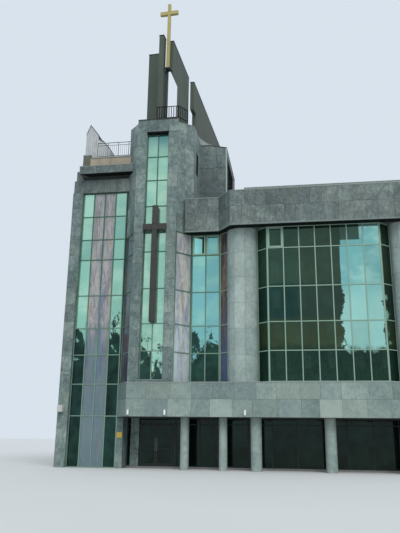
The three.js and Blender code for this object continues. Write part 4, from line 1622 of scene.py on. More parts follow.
@dataclass
class StairTower:
    """The stair tower behind the tower's right side."""

    right: float = 3.75
    ridge: float = 2.6
    eaves: float = 20.15
    niche: tuple[float, float, float, float] = (4.8, 7.9, 17.2, 19.65)
    recess: float = 4.1
    first_course: float = 14.2
    strip: Point = (14.1, 20.1)
    bars: int = 26
    sheet: tuple[Point, ...] = (
        (1.76, 21.22), (1.9, 21.05), (2.09, 20.86), (2.38, 20.61), (2.6, 20.48), (2.9, 20.37),
    )

    def build(self) -> None:
        """Makes the stair tower's pieces."""
        plan = (TOWER_HALF, self.ridge, self.right)
        path = line(*((x, STAIR_FRONT) for x in plan), *((x, STAIR_BACK) for x in reversed(plan)))
        tops = (TOWER_TOP, TOWER_TOP, self.eaves, self.eaves, TOWER_TOP, TOWER_TOP)
        marks = path.marks()
        _, end, bottom, top = self.niche
        start, end = (marks[2] + y - STAIR_FRONT for y in (self.recess, end))
        Cladding(
            "stair_tower_slabs", STAIR_STONE, path,
            [RIGHT_ROOF, *courses(self.first_course, top, 0.98), TOWER_TOP],
            (0.0, marks[2], start, end, marks[3], marks[5]), width=0.86,
            openings=(Opening(start, end, bottom, top),), tones=(0.5, 0.8, 0.8, 0.8, 0.5), seed=15,
            tops=lambda along: path.level(along, tops),
        ).build()
        Capping("stair_tower_cap", DARK_CAP, [(path, tops)], inner=0.28, lap=0.03).build()
        self._flashing(path, tops)
        strip = Solids()
        low = (self.right - 0.05, STAIR_FRONT - 0.032, self.strip[0])
        strip.block(low, (self.right + 0.035, STAIR_FRONT + 0.04, self.strip[1]))
        strip.make("stair_tower_corner_strip", PALE_SHEET)
        self._niche()

    def _niche(self) -> None:
        """Fills the niche with its grille, and paints its shade with a black back and a black sheet
        before it.
        """
        start, end, bottom, top = self.niche
        right, half = self.right, 0.012
        grille = Solids()
        for i in range(self.bars):
            y = start + 0.06 + i * (end - start - 0.12) / (self.bars - 1)
            grille.block((right - 0.11, y - half, bottom), (right - 0.05, y + half, top), 0.003)
        grille.make("stair_tower_grille", BLACK_PAINT_AND_SHADE)
        # Painted shade: the niche's black back and the black sheet before it.
        dark = Solids()
        dark.block((right, self.recess, bottom), (right + 0.006, start, top), 0.002)
        back = right - 0.12
        dark.block((back - 0.008, start + 0.002, bottom), (back, end - 0.002, top), 0.002)
        dark.make("stair_tower_recess_shade", BLACK_PAINT_AND_SHADE)

    def _flashing(self, path: WallPath, tops: Sequence[float]) -> None:
        """Stands a curved pale sheet on the top, from the tower's long wall to the ridge.

        Args:
            path: The stair tower's line.
            tops: The wall's height at each corner.
        """
        rings = []
        front, thick = STAIR_FRONT + 0.005, 0.08
        for x, top in self.sheet:
            foot = path.level(x - TOWER_HALF, tops) if x > TOWER_HALF else TOWER_TOP
            corners = ((front, foot), (front, top), (front + thick, top), (front + thick, foot))
            rings.append([Vector((x, y, z)) for y, z in corners])
        sheet = Solids()
        sheet.tube(rings)
        sheet.make("stair_tower_flashing", CAP_METAL)


@dataclass
class LeftWing:
    """The glazed left wing with its pilaster, frieze, parapet, railing and peak."""

    glass_left: float = -4.87
    glass_right: float = -2.05
    glass_front: float = 1.1
    pilaster_front: float = 0.9
    front: float = 1.0
    back: float = 1.45
    frieze_right: float = -1.92
    frieze_top: float = 17.0
    cornice_front: float = 0.5
    cornice_right: float = -1.6
    cornice_bottom: float = 17.25
    recess: float = 1.3
    end_right: float = -4.54
    end_joint: float = 18.2
    end_top: float = 18.75
    outline: tuple[Point, ...] = (
        (-5.45, 20.96), (-5.18, 21.66), (-4.64, 20.95),
        (-4.56, 20.6), (-4.24, 20.41), (-3.78, 19.86),
    )

    @property
    def cornice(self) -> WallPath:
        """The cornice's line."""
        left, front = PARAPET_LEFT, self.cornice_front
        return line((left, self.recess), (left, front), (self.cornice_right, front))

    def build(self) -> None:
        """Makes the left wing's pieces."""
        self._glazing()
        self._stone()
        self._cornice()
        self._parapet()
        self._railing()
        self._peak()
        self._wall_unit()

    def _glazing(self) -> None:
        """Glazes the wall: clear outer columns and coloured middle ones."""
        rails = (BAND_BOTTOM + 0.05, SILL, *TRANSOMS, FRIEZE_BOTTOM, UPPER_TRANSOM)
        middle, outer = (
            tuple((column, row) for column in chosen for row in range(len(rails) + 1))
            for chosen in ((1, 2), (0, 3))
        )
        ends = ((self.glass_left, self.glass_front), (self.glass_right, self.glass_front))
        clear = Facet(*ends, 0.0, LEFT_HEAD, 4, rails, open_cells=middle)
        Glazing("left_wing", [clear], GREEN_FRAME, MINT_GLASS, "left_wing_glazing", 22).build()
        panes = Solids()
        replace(clear, open_cells=outer).panes(panes, random.Random(23))
        panes.make("left_wing_painted_panes", WING_PAINTED_GLASS)

    def _stone(self) -> None:
        """Clads the pilaster, the frieze and the wall over it."""
        left, right, front = LEFT_END, self.glass_left, self.pilaster_front
        pilaster = line((left, self.back), (left, front), (right, front), (right, self.glass_front))
        Cladding(
            "left_pilaster_slabs", TOWER_STONE, pilaster, courses(0.0, LEFT_HEAD, 1.01),
            width=0.6, tones=(0.5, 0.55, 0.6), warmths=(0.6,), seed=16,
        ).build()
        Cladding(
            "left_frieze_slabs", FRIEZE_STONE,
            line((LEFT_END, self.back), (LEFT_END, self.front), (self.frieze_right, self.front)),
            (LEFT_HEAD, self.frieze_top), width=0.75, tones=(0.3,), seed=17,
        ).build()
        Cladding(
            "left_shoulder_slabs", FRIEZE_STONE,
            line((LEFT_END, self.back), (LEFT_END, self.recess), (PARAPET_LEFT, self.recess)),
            (self.frieze_top, LEFT_ROOF), seed=19,
        ).build()

    def _cornice(self) -> None:
        """Clads the cornice and lines its underside with a dark sheet of painted shade."""
        cornice, bottom = self.cornice, self.cornice_bottom
        Cladding(
            "left_cornice_slabs", FRIEZE_STONE, cornice, (bottom, LEFT_ROOF), width=1.2, seed=18
        ).build()
        # A dark sheet of painted shade under the cornice.
        soffit = Solids()
        section = flat_section(-0.03, -0.49, bottom - 0.002, bottom - 0.016)
        sweep(soffit, cornice, section, cornice.marks()[1:])
        soffit.make("left_cornice_soffit_shade", SHADE_BOARD)

    def _parapet(self) -> None:
        """Builds the parapet's raised end block and caps its runs and the cornice."""
        front, end, back = self.front, self.end_right, self.recess
        block = line((PARAPET_LEFT, back), (PARAPET_LEFT, front), (end, front))
        Cladding(
            "left_parapet_end_slabs", END_STONE, block, (LEFT_ROOF, self.end_joint, self.end_top),
            warmths=(0.95,), seed=20,
        ).build()
        core = Solids()
        core.block((PARAPET_LEFT, front, LEFT_TOP), (end, back, self.end_top), 0.004)
        core.make("left_parapet_end_core", END_STONE)
        caps = [
            (line((PARAPET_LEFT, PEAK_FRONT - 0.01), (PARAPET_LEFT, back + 0.04)), LEFT_TOP),
            (block, self.end_top),
            (line((end + 0.04, front), (self.frieze_right, front)), LEFT_TOP),
            (line((LEFT_END, REAR), (LEFT_END, PEAK_BACK)), LEFT_TOP),
        ]
        Capping("left_parapet_caps", CAP_METAL, caps, inner=0.27).build()
        ledge = line((LEFT_END, PEAK_FRONT - 0.02), (LEFT_END, back), (PARAPET_LEFT, back))
        ledges = [(self.cornice, LEFT_ROOF), (ledge, LEFT_ROOF)]
        Capping("left_cornice_cap", STONE_TRIM, ledges, inner=0.16, lap=0.03, lip=0.03).build()

    def _railing(self) -> None:
        """Makes the railing over the parapet."""
        solids = Solids()
        left, right, y = -4.15, -1.99, 1.11
        bottom, top = LEFT_TOP, LEFT_TOP + 1.05
        lower = top - 0.19
        for z, radius in ((top - 0.02, 0.022), (lower, 0.015), (bottom + 0.12, 0.015)):
            solids.rod((left, y, z), (right, y, z), radius)
        for i in range(17):
            x = left + (right - left) * i / 16
            head, radius = (top, 0.02) if i % 5 == 0 else (lower, 0.008)
            solids.rod((x, y, bottom), (x, y, head), radius, 8)
        solids.make("left_railing_bars", RAILING_PAINT, replaces=("left_roof_railing",))

    def _peak(self) -> None:
        """Adds the standing ribs and the cap of the ribbed peak."""
        right, foot = self.outline[-1]
        edge, half = 0.004, 0.014
        ribs = Solids()
        for i in range(13):
            x = -5.39 + i * 0.13
            head = straight(x, *zip(*self.outline)) - 0.03
            for y0 in (PEAK_FRONT - 0.03, PEAK_BACK - 0.02):
                ribs.block((x - half, y0, LEFT_TOP), (x + half, y0 + 0.03, head), edge)
        for i in range(8):
            y = PEAK_FRONT + 0.06 + i * 0.14
            ribs.block((right, y - half, LEFT_ROOF), (right + 0.028, y + half, foot - 0.03), edge)
        ribs.make("peak_ribs", RIBBED_SHEET)
        cap = Solids()
        section = flat_section(PEAK_FRONT - 0.04, PEAK_BACK + 0.02, -0.03, 0.02)
        for ends in pairwise(self.outline):
            cap.tube([[Vector((x, y, z + rise)) for y, rise in section] for x, z in ends])
        cap.make("peak_cap", DARK_CAP)

    def _wall_unit(self) -> None:
        """Adds the small pale unit on the pilaster, on its bracket."""
        solids = Solids()
        solids.block((-5.4, 0.6, 2.95), (-5.1, 0.86, 3.32), 0.015)
        solids.block((-5.33, 0.84, 3.0), (-5.17, 0.885, 3.26), 0.004)
        solids.make("wall_unit", UNIT_PAINT)


@dataclass
class MiddleBay:
    """The angled coloured panels, the middle window with its open light, and the piers."""

    left: float = 2.05
    right: float = 3.7
    front: float = 0.9
    pier: Point = (4.22, 5.85)
    pier_back: float = 1.0
    shoulder: float = 0.45
    bulge: float = 0.5
    light_turn: float = 38.0
    light_width: float = 0.7

    def build(self) -> None:
        """Makes the middle bay's pieces."""
        self._coloured()
        self._window()
        self._open_light()
        self._pier("rounded_pier", *self.pier)
        self._pier("mirrored_pier", MIRROR - self.pier[1], RIGHT_END)

    def _coloured(self) -> None:
        """Makes the three coloured corner panels."""
        for seed, side, start, end, bars, panes in (
            (31, "tower_left", (-2.03, 1.17), (-1.258, -0.007), GREEN_FRAME, DUSKY_PAINTED_GLASS),
            (32, "tower_right", (1.258, 0.013), (2.045, 0.895), GREEN_FRAME, PALE_PAINTED_GLASS),
            (33, "pier", (3.705, 0.895), (4.215, 0.425), PALE_FRAME, RUSSET_PAINTED_GLASS),
        ):
            facet = Facet(start, end, SILL, FRIEZE_BOTTOM, 1)
            Glazing(f"{side}_painted", [facet], bars, panes, f"{side}_art_panel", seed).build()

    def _window(self) -> None:
        """Glazes the middle window and frames its two upper lights."""
        ends = ((self.left, self.front), (self.right, self.front))
        facet = Facet(*ends, SILL, FRIEZE_BOTTOM, 2, open_cells=((0, 4),))
        Glazing("middle_window", [facet], GREEN_FRAME, CYAN_GLASS, "middle_window", 24).build()
        lights = Solids()
        for a, b in pairwise(facet.uprights()):
            sash_frame(lights, self.left + a, self.left + b, self.front)
        lights.make("middle_window_light_frames", PALE_FRAME)

    def _open_light(self) -> None:
        """Makes the upper left light, standing open inward."""
        angle = math.radians(self.light_turn)
        x, y = self.left + 0.03, self.front + 0.1003
        free = (x + self.light_width * math.cos(angle), y + self.light_width * math.sin(angle))
        facet = Facet((x, y), free, TRANSOMS[3] + 0.05, FRIEZE_BOTTOM - 0.06, 1, (), depth=0.05)
        Glazing("open_light", [facet], PALE_FRAME, LIGHT_GLASS, "middle_open_sash", 25).build()

    def _pier(self, node: str, start: float, end: float) -> None:
        """Clads one rounded pier in curved slabs.

        Args:
            node: The node that the pier stands for.
            start: Its left side.
            end: Its right side.
        """
        middle, half = (start + end) / 2, (end - start) / 2
        turns = [math.pi * i / 28 for i in range(29)]
        out = self.bulge
        curve = [(middle - half * math.cos(t), self.shoulder - out * math.sin(t)) for t in turns]
        path = line((start, self.pier_back), *curve, (end, self.pier_back))
        marks = path.marks()
        places = [x for x, _ in path.points]
        joints = (straight(start + across, places, marks) for across in (0.4, 0.98))
        # The stretches' tones paint the pier's roundness: a painted highlight on the middle stretch
        # and painted shade on the right-hand ones.
        Cladding(
            f"{node}_slabs", PIER_STONE, path, courses(SILL, FRIEZE_BOTTOM, 1.44),
            (0.0, marks[1], *joints, marks[-2], marks[-1]), width=3.0, spread=0.15, seed=41,
            tones=(0.4, 0.3, 0.95, 0.05, 0.2), warmths=(0.45, 0.4, 0.55, 0.45),
        ).build()
        core = Solids()
        ring = [*curve, (end, LEDGE_BACK), (start, LEDGE_BACK)]
        core.tube([[Vector((x, y, z)) for x, y in ring] for z in (SILL, FRIEZE_BOTTOM)])
        core.make(f"{node}_core", BEDDING_RENDER, replaces=(node,))


@dataclass
class RightWing:
    """The long glazed wing under its frieze."""

    glass_left: float = 6.45
    bay: float = 0.874
    bays: int = 7
    front: float = -0.1
    shoulder: Point = (5.853, 0.45)
    frieze_left: float = 1.69
    frieze_back: float = 0.35
    frieze_joint: float = 14.24
    kerb_left: float = 5.25
    kerb_front: float = -0.47

    def build(self) -> None:
        """Makes the right wing's pieces."""
        self._glazing()
        self._frieze()
        self._upstand()

    def _glazing(self) -> None:
        """Glazes the seven bays and the angled pane at each end."""
        left, right = self.glass_left, self.glass_left + self.bays * self.bay
        x, y = self.shoulder
        heights = (SILL, FRIEZE_BOTTOM)
        flat = Facet((left, self.front), (right, self.front), *heights, self.bays)
        left_return = Facet((x, y), (left, self.front), *heights, 1)
        right_return = Facet((right, self.front), (MIRROR - x, y), *heights, 1)
        facets = [flat, left_return, right_return]
        Glazing("right_wing", facets, PALE_FRAME, SHADED_GLASS, "right_wing_glazing", 26).build()
        sash = Solids()
        a, b, *_ = flat.uprights()
        sash_frame(sash, left + a, left + b, self.front)
        sash.make("right_wing_sash", PALE_FRAME)

    def _frieze(self) -> None:
        """Clads the frieze and gives it a drip edge, a dark soffit sheet of painted shade and a
        cap.
        """
        path = line(
            (self.frieze_left, self.frieze_back), (MIDDLE_RIGHT, self.frieze_back),
            (BEND, FRIEZE_FRONT), (RIGHT_END, FRIEZE_FRONT), (RIGHT_END, LEDGE_BACK),
        )
        Cladding(
            "frieze_slabs", FRIEZE_STONE, path, (FRIEZE_BOTTOM, self.frieze_joint, FRIEZE_TOP),
            width=0.76, tones=(0.3, 0.2, 0.3, 0.4), warmths=(0.42, 0.42, 0.48, 0.5), seed=51,
        ).build()
        drip, soffit = Solids(), Solids()
        edge = [
            (-0.02, -0.012), (0.028, -0.012), (0.034, 0.0),
            (0.034, 0.05), (0.022, 0.062), (-0.02, 0.062),
        ]
        spans = list(pairwise(path.marks()))
        for span in spans:
            sweep(drip, path, edge, span, base=FRIEZE_BOTTOM)
        drip.make("frieze_drip", STONE_TRIM)
        # A dark sheet of painted shade under the frieze.
        sheet = flat_section(-0.03, -0.52, -0.002, -0.016)
        for span in spans[:-1]:
            sweep(soffit, path, sheet, span, base=FRIEZE_BOTTOM)
        soffit.make("frieze_soffit_shade", SHADE_BOARD)
        runs = [(path, FRIEZE_TOP)]
        Capping("frieze_cap", STONE_TRIM, runs, inner=0.27, lap=0.03, lip=0.03).build()

    def _upstand(self) -> None:
        """Sets the roof's metal upstand behind the frieze's cap, in lengths with fine joints."""
        left, right, front = self.kerb_left, RIGHT_END - 0.12, self.kerb_front
        kerb = line((left, -0.3), (left, front), (right, front), (right, LEDGE_BACK))
        section = [(-0.1, 0.02), (0.0, 0.02), (0.0, 0.15), (0.02, 0.15), (0.02, 0.18), (-0.1, 0.2)]
        upstand = Solids()
        count, joint = 11, 0.004
        for i, (a, b) in enumerate(pairwise(equal(0.0, kerb.marks()[-1], count))):
            tone = (0.5, 0.5, i / count)
            sweep(upstand, kerb, section, (a + joint, b - joint), tone, FRIEZE_TOP)
        upstand.make("frieze_upstand", CAP_METAL)


@dataclass
class StreetBand:
    """The stone band over the recessed ground floor, with its lamps."""

    joint: float = 3.62
    lamps: tuple[float, ...] = (-1.105, 0.9, 5.16)
    lamp_rings: tuple[Point, ...] = ((2.78, 0.035), (2.8, 0.055), (3.0, 0.06), (3.03, 0.05))

    def build(self) -> None:
        """Makes the band's pieces."""
        right, front = RIGHT_END, BAND_FRONT
        path = line(PILLAR_CORNER, (-FRONT_HALF, front), (right, front), (right, LEDGE_BACK))
        Cladding(
            "band_slabs", BAND_STONE, path, (BAND_BOTTOM, self.joint, SILL), width=1.15,
            tones=(0.1, 0.56, 0.5), warmths=(0.1, 0.52, 0.5), seed=62, joint=0.008,
        ).build()
        Capping("band_sill", CAP_METAL, [(path, SILL)], inner=0.25, lip=0.03).build()
        drip = Solids()
        section = flat_section(-0.04, 0.012, -0.02, 0.012)
        for span in pairwise(path.marks()):
            sweep(drip, path, section, span, base=BAND_BOTTOM)
        drip.make("band_drip", DARK_CAP)
        self._lamps()

    def _lamps(self) -> None:
        """Hangs the white lamps on the band's lower edge."""
        glass, holder = Solids(), Solids()
        y, back = BAND_FRONT - 0.1, BAND_FRONT - 0.015
        turns = [2 * math.pi * i / 20 for i in range(20)]
        for x in self.lamps:
            rings = [
                [Vector((x + r * math.cos(t), y + r * math.sin(t), z)) for t in turns]
                for z, r in self.lamp_rings
            ]
            glass.tube(rings)
            holder.rod((x, y, 3.025), (x, y, 3.06), 0.035, 16)
            holder.block((x - 0.015, y, 3.035), (x + 0.015, back + 0.005, 3.055), 0.003)
            holder.block((x - 0.04, back - 0.02, 2.98), (x + 0.04, back, 3.1), 0.004)
        glass.make("lamp_glasses", LAMP_WHITE)
        holder.make("lamp_holders", UNIT_PAINT)


@dataclass
class GroundFloor:
    """Columns, entrance and recessed glazing."""

    columns: tuple[Point, ...] = (
        (1.85, 0.24), (3.92, 0.23), (5.67, 0.3), (9.51, 0.3), (13.348, 0.3),
    )
    column_y: float = 0.7
    drums: tuple[float, ...] = (0.0, 0.9, 1.8, BAND_BOTTOM)
    glass: float = 2.05
    pillar_right: float = -1.7
    door_half: float = 0.95
    jamb_right: float = 1.1
    door_top: float = 2.35

    def build(self) -> None:
        """Makes the ground floor's pieces."""
        for number, (x, radius) in enumerate(self.columns, 1):
            self._column(number, x, radius)
        self._pillar()
        self._glazing()
        self._leaf("left", 1)
        self._leaf("right", -1)

    def _column(self, number: int, x: float, radius: float) -> None:
        """Clads one round column in curved slabs over a smooth core.

        Args:
            number: Its number from the left.
            x: Its middle along X.
            radius: Its radius over the slabs.
        """
        skin, y, steps = 0.012, self.column_y, 36
        reach = radius - skin
        turns = [math.pi / 2 + 2 * math.pi * i / steps for i in range(-steps, 1)]
        path = line(*((x - reach * math.cos(t), y + reach * math.sin(t)) for t in turns))
        thirds = equal(0.0, path.marks()[-1], 3)
        Cladding(
            f"column_{number}_slabs", PIER_STONE, path, self.drums, thirds, width=9.0,
            tones=(0.25,), spread=0.15, seed=70 + number, thickness=skin, joint=0.005,
        ).build()
        core = Solids()
        core.rod((x, y, 0.0), (x, y, BAND_BOTTOM), reach - 0.002, steps)
        core.make(f"column_{number}_core", BEDDING_RENDER, replaces=(f"ground_column_{number}",))

    def _pillar(self) -> None:
        """Clads the entrance pillar and the inner pillar, and hangs the blank plate."""
        _, front = PILLAR_CORNER
        right = self.pillar_right
        path = line(PILLAR_CORNER, (right, front), (right, self.glass))
        Cladding(
            "entrance_pillar_slabs", TOWER_STONE, path, self.drums,
            tones=(0.45, 0.2), warmths=(0.25,), seed=81,
        ).build()
        plate = Solids()
        plate.block((-2.03, front - 0.038, 1.6), (-1.72, front - 0.022, 1.9), 0.004)
        plate.make("blank_plate", BRASS)
        inner = Solids()
        for low, high in pairwise((FLOOR_TOP, 0.98, 1.86, BAND_BOTTOM)):
            inner.block((-1.48, 2.0, low + 0.003), (-1.0, 2.06, high - 0.003), 0.005)
        inner.make("inner_pillar_slabs", TOWER_STONE)

    def _glazing(self) -> None:
        """Glazes the long recessed wall and the lights about the doors."""
        y, top, rails = self.glass, self.door_top, (self.door_top,)
        heights = (FLOOR_TOP, BAND_BOTTOM)
        wall = Facet((self.jamb_right, y), (RIGHT_END - 0.3, y), *heights, 10, rails)
        Glazing("ground_floor", [wall], DARK_FRAME, DIM_GLASS, "ground_glazing_right", 27).build()
        beside = Facet((self.pillar_right + 0.0003, y), (-self.door_half, y), *heights, 1, rails)
        over = Facet((-self.door_half - 0.06, y), (self.jamb_right, y), top, BAND_BOTTOM, 1, ())
        Glazing("entrance", [beside, over], DARK_FRAME, DIM_GLASS, "entrance_frame", 28).build()
        jamb = Solids()
        jamb.block((self.door_half, y, FLOOR_TOP), (self.jamb_right, y + 0.1, top), 0.005)
        jamb.make("entrance_jamb", DARK_FRAME)

    def _leaf(self, side: str, sign: int) -> None:
        """Makes one door leaf with its stiles, pane, pull and pivots.

        Args:
            side: The leaf's side.
            sign: 1 where the leaf reaches toward +X from its pivot, or -1.
        """
        pivot = -sign * (self.door_half - 0.014)
        reach, bottom, top = 0.932, FLOOR_TOP + 0.008, self.door_top - 0.008
        front, back, stile = 2.055, 2.1, 0.09
        inside = reach - stile
        node, body = f"{side}_door_leaf", f"{side}_door"
        bars = Solids()
        for a, b, low, high in (
            (0.0, stile, bottom, top),
            (inside, reach, bottom, top),
            (stile, inside, bottom, bottom + 0.16),
            (stile, inside, top - stile, top),
            (stile, inside, 1.0, 1.06),
        ):
            bars.block((pivot + sign * a, front, low), (pivot + sign * b, back, high), 0.005)
        y = front + 0.012
        for low, high in ((FLOOR_TOP, bottom + 0.05), (top - 0.05, self.door_top)):
            bars.rod((pivot, y, low), (pivot, y, high), 0.008, 12)
        bars.make(f"{side}_leaf_frame", DARK_FRAME, body, (node,))
        panes = Solids()
        x0, x1 = (pivot + sign * across for across in (stile - 0.01, inside + 0.01))
        low, high = bottom + 0.15, top - stile + 0.01
        panes.block((x0, front + 0.016, low), (x1, front + 0.028, high), 0.002)
        panes.make(f"{side}_leaf_pane", DIM_GLASS, body)
        pull = Solids()
        x, y = pivot + sign * (reach - stile / 2), front - 0.05
        pull.rod((x, y, bottom + 0.8), (x, y, bottom + 1.5), 0.015, 14)
        for z in (bottom + 0.86, bottom + 1.44):
            pull.rod((x, y, z), (x, front + 0.004, z), 0.009)
        pull.make(f"{side}_leaf_pull", CAP_METAL, body)


@dataclass
class SidesAndRear:
    """The plain right side and rear walls with their windows and caps."""

    window_half: float = 0.75
    window_back: float = 0.17
    rear_windows: tuple[float, ...] = (-3.74, 0.0, 3.626, 6.819, 10.011, 13.204)
    side_windows: tuple[float, ...] = (3.781, 8.044, 12.306, 16.569)

    def build(self) -> None:
        """Makes the sides' and rear's pieces."""
        self._rear()
        right = line((RIGHT_END, LEDGE_BACK), (RIGHT_END, REAR))
        places = [y - LEDGE_BACK for y in self.side_windows]
        Cladding(
            "right_side_slabs", SIDE_STONE, right, self._rows(), width=1.05,
            openings=self._holes(places), spread=0.35, seed=93,
        ).build()
        self._windows("side", "right_side_glass", right, places, 94)
        runs = [
            (line((RIGHT_END, LEDGE_BACK), (RIGHT_END, REAR), (TOWER_HALF, REAR)), FRIEZE_TOP),
            (line((TOWER_HALF, REAR), (-TOWER_HALF, REAR)), TOWER_TOP),
            (line((-TOWER_HALF, REAR), (LEFT_END, REAR)), LEFT_TOP),
        ]
        Capping("side_and_rear_caps", CAP_METAL, runs, inner=0.32).build()

    @staticmethod
    def _rows() -> list[float]:
        """Gives the heights between courses, from the ground to the frieze's top."""
        lower = [*courses(0.0, SILL, 0.9), *courses(SILL, FRIEZE_BOTTOM, 0.96)[1:]]
        return [*lower, *courses(FRIEZE_BOTTOM, FRIEZE_TOP, 1.1)[1:]]

    def _rear(self) -> None:
        """Clads the stepped rear wall and glazes its windows."""
        rear = line((RIGHT_END, REAR), (LEFT_END, REAR))
        total = RIGHT_END - LEFT_END
        right, left = RIGHT_END - TOWER_HALF, RIGHT_END + TOWER_HALF
        upper = courses(FRIEZE_TOP, LEFT_TOP, 0.93)[1:] + courses(LEFT_TOP, TOWER_TOP, 0.93)[1:]
        steps = (
            Opening(0.0, right, FRIEZE_TOP, TOWER_TOP),
            Opening(left, total, LEFT_TOP, TOWER_TOP),
        )
        places = [RIGHT_END - x for x in self.rear_windows]
        rows = [*self._rows(), *upper]
        Cladding(
            "rear_slabs", SIDE_STONE, rear, rows, (0.0, right, left, total), width=1.05,
            openings=(*self._holes(places), *steps), spread=0.35, seed=91,
        ).build()
        self._windows("rear", "rear_glass", rear, places, 92)

    def _holes(self, places: Sequence[float]) -> list[Opening]:
        """Gives the windows' openings, by their middles along a wall."""
        half = self.window_half
        return [Opening(m - half, m + half, SILL, FRIEZE_BOTTOM) for m in places]

    def _windows(
        self, side: str, node: str, path: WallPath, places: Sequence[float], seed: int
    ) -> None:
        """Glazes one wall's windows, with a sloping sill and a drip head on each.

        Args:
            side: The start of the pieces' names.
            node: The node that the glazing stands for.
            path: The wall's line.
            places: The windows' middles along it.
            seed: The seed of the panes.
        """
        half, back = self.window_half, self.window_back
        facets = []
        for middle in places:
            ends = (tuple(path.at(middle + reach, 0.0, 0.0)[:2]) for reach in (-half, half))
            facets.append(Facet(*ends, SILL, FRIEZE_BOTTOM, 2, back=back))
        Glazing(f"{side}_window", facets, GREEN_FRAME, REAR_GLASS, node, seed).build()
        head = [(0.03, -0.01), (0.03, 0.02), (-back, 0.0), (-back, -0.03)]
        solids = Solids()
        for facet in facets:
            sweep(solids, facet.path, sill_section(0.055, back), base=SILL)
            sweep(solids, facet.path, head, base=FRIEZE_BOTTOM)
        solids.make(f"{side}_sills", CAP_METAL)


@dataclass
class Belfry:
    """The caps of the turned group of upright blades, and the gilt cross."""

    place: Point = (0.33, 2.43)
    turn: float = -3.4
    top: float = 27.6
    blades: tuple[tuple[float, float, float, float], ...] = (
        (-2.09, -1.18, 1.05, 1.35),
        (-0.79, -0.48, -0.88, -0.33),
        (-0.28, 0.0, -0.13, 4.4),
        (-0.02, 0.27, 4.95, 15.77),
    )
    cap_length: float = 2.3
    cross: Point = (-0.27, -0.43)
    cross_half: float = 0.1
    cross_joints: tuple[float, ...] = (25.32, 27.1, 28.7, 29.45, 29.72, 30.3)
    arms: Point = (29.45, 29.72)
    arm_half: float = 0.62

    def build(self) -> None:
        """Makes the caps of the blades and the cross."""
        turned = Matrix.Rotation(math.radians(self.turn), 4, "Z")
        matrix = Matrix.Translation((*self.place, 0.0)) @ turned
        caps = Solids()
        lap, joint = 0.02, 0.002
        for x0, x1, y0, y1 in self.blades:
            cuts = courses(y0, y1, self.cap_length)
            for a, b in pairwise(cuts):
                front = a - lap if a == y0 else a + joint
                rear = b + lap if b == cuts[-1] else b - joint
                low, high = (x0 - lap, front, self.top - 0.05), (x1 + lap, rear, self.top + 0.02)
                caps.block(low, high, 0.005)
        caps.make("blade_caps", DARK_CAP, matrix=matrix)
        self._cross(matrix)

    def _cross(self, matrix: Matrix) -> None:
        """Makes the gilt cross of folded sheet on its foot.

        Args:
            matrix: The belfry's turn and place.
        """
        (x, y), half, edge, joint = self.cross, self.cross_half, 0.007, 0.002
        top = self.cross_joints[-1]
        solids = Solids()
        for a, b in pairwise(self.cross_joints):
            head = b if b == top else b - joint
            solids.block((x - half, y - half, a + joint), (x + half, y + half, head), edge)
        for sign in (-1, 1):
            x0, x1 = x + sign * (half + joint), x + sign * self.arm_half
            solids.block((x0, y - half, self.arms[0]), (x1, y + half, self.arms[1]), edge)
        solids.make("gilt_cross", GILT, replaces=("gold_cross",), matrix=matrix)


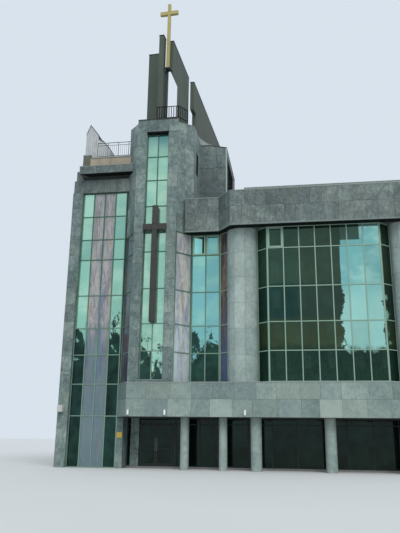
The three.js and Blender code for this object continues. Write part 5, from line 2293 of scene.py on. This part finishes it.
@dataclass
class Studio:
    """The pale floor, soft light and street-level camera."""

    eye: tuple[float, float, float] = (7.809, -32.381, 1.65)
    yaw: float = 9.0
    pitch: float = 15.8
    roll: float = 0.7
    focal: float = 605.0
    long_side: float = 533.0
    sensor: float = 36.0
    floor_half: float = 300.0

    def build(self) -> None:
        """Makes the floor, lights and camera, and shows colours as they are."""
        self._floor()
        self._lights()
        self._camera()
        bpy.context.scene.view_settings.view_transform = "Standard"

    def _floor(self) -> None:
        """Lays a plain pale floor."""
        half = self.floor_half
        mesh = bpy.data.meshes.new("studio_floor")
        corners = [(-half, -half, 0), (half, -half, 0), (half, half, 0), (-half, half, 0)]
        mesh.from_pydata(corners, [], [(0, 1, 2, 3)])
        s = Shader("studio_floor")
        soft = s.noise(s.place(), 0.15, 3.0, 0.5)
        base = s.mix(soft, colour(198, 200, 200), colour(206, 207, 206))
        mesh.materials.append(s.finish(Base_Color=base, Roughness=0.9))
        floor = bpy.data.objects.new("studio_floor", mesh)
        bpy.context.scene.collection.objects.link(floor)

    def _lights(self) -> None:
        """Sets a pale sky and one large soft key light."""
        world = bpy.data.worlds.new("studio")
        world.use_nodes = True
        background = world.node_tree.nodes["Background"]
        background.inputs["Color"].default_value = (*colour(222, 232, 242), 1.0)
        background.inputs["Strength"].default_value = 0.95
        bpy.context.scene.world = world
        key = bpy.data.lights.new("key", "SUN")
        key.energy = 1.6
        key.angle = math.radians(35)
        key.color = (1.0, 0.98, 0.94)
        lamp = bpy.data.objects.new("key", key)
        lamp.rotation_euler = Vector((-0.35, 0.85, -1.0)).to_track_quat("-Z", "Y").to_euler()
        bpy.context.scene.collection.objects.link(lamp)

    def _camera(self) -> None:
        """Sets the camera where the street view was taken from."""
        turned = Matrix.Identity(4)
        for angle, axis in ((self.yaw, "Z"), (90.0 + self.pitch, "X"), (self.roll, "Z")):
            turned @= Matrix.Rotation(math.radians(angle), 4, axis)
        data = bpy.data.cameras.new("street_camera")
        data.sensor_width = self.sensor
        data.lens = self.focal * self.sensor / self.long_side
        data.clip_end = 2000.0
        camera = bpy.data.objects.new("street_camera", data)
        camera.matrix_world = Matrix.Translation(ORIGIN + Vector(self.eye)) @ turned
        bpy.context.scene.collection.objects.link(camera)
        bpy.context.scene.camera = camera


def dress_nodes() -> None:
    """Gives every node that stays in sight its finish."""
    clad = (
        "tower_front_shell", "spine_left_wall", "spine_right_wall", "stair_tower", "upper_frieze",
        "left_frieze", "right_side_wall", "rear_wall", "spandrel_band", "entrance_pillar",
    )
    dress(BEDDING_RENDER, *clad)
    blades = ("left", "front", "bracket", "rear")
    dress(BLADE_CONCRETE, *(f"belfry_{each}_blade" for each in blades))
    dress(COLUMN_STEEL, "belfry_beam")
    dress(ROOF_MEMBRANE, "left_roof_slab", "right_roof_slab", "spine_roof_slab", "ground_slab")
    dress(SOFFIT_BOARD, "first_floor")
    dress(SAND_PLASTER, "left_parapet")
    dress(PARTY_RENDER, "left_party_wall")
    dress(RIBBED_SHEET, "left_roof_peak")


def main() -> None:
    """Builds the scene in order."""
    logging.basicConfig(level=logging.INFO, format="%(message)s")
    dress_nodes()
    parts = (
        Tower(), StairTower(), LeftWing(), MiddleBay(), RightWing(), StreetBand(),
        GroundFloor(), SidesAndRear(), Belfry(), Studio(),
    )
    for part in parts:
        part.build()
        log.info("built %s", type(part).__name__)


if __name__ == "__main__":
    main()
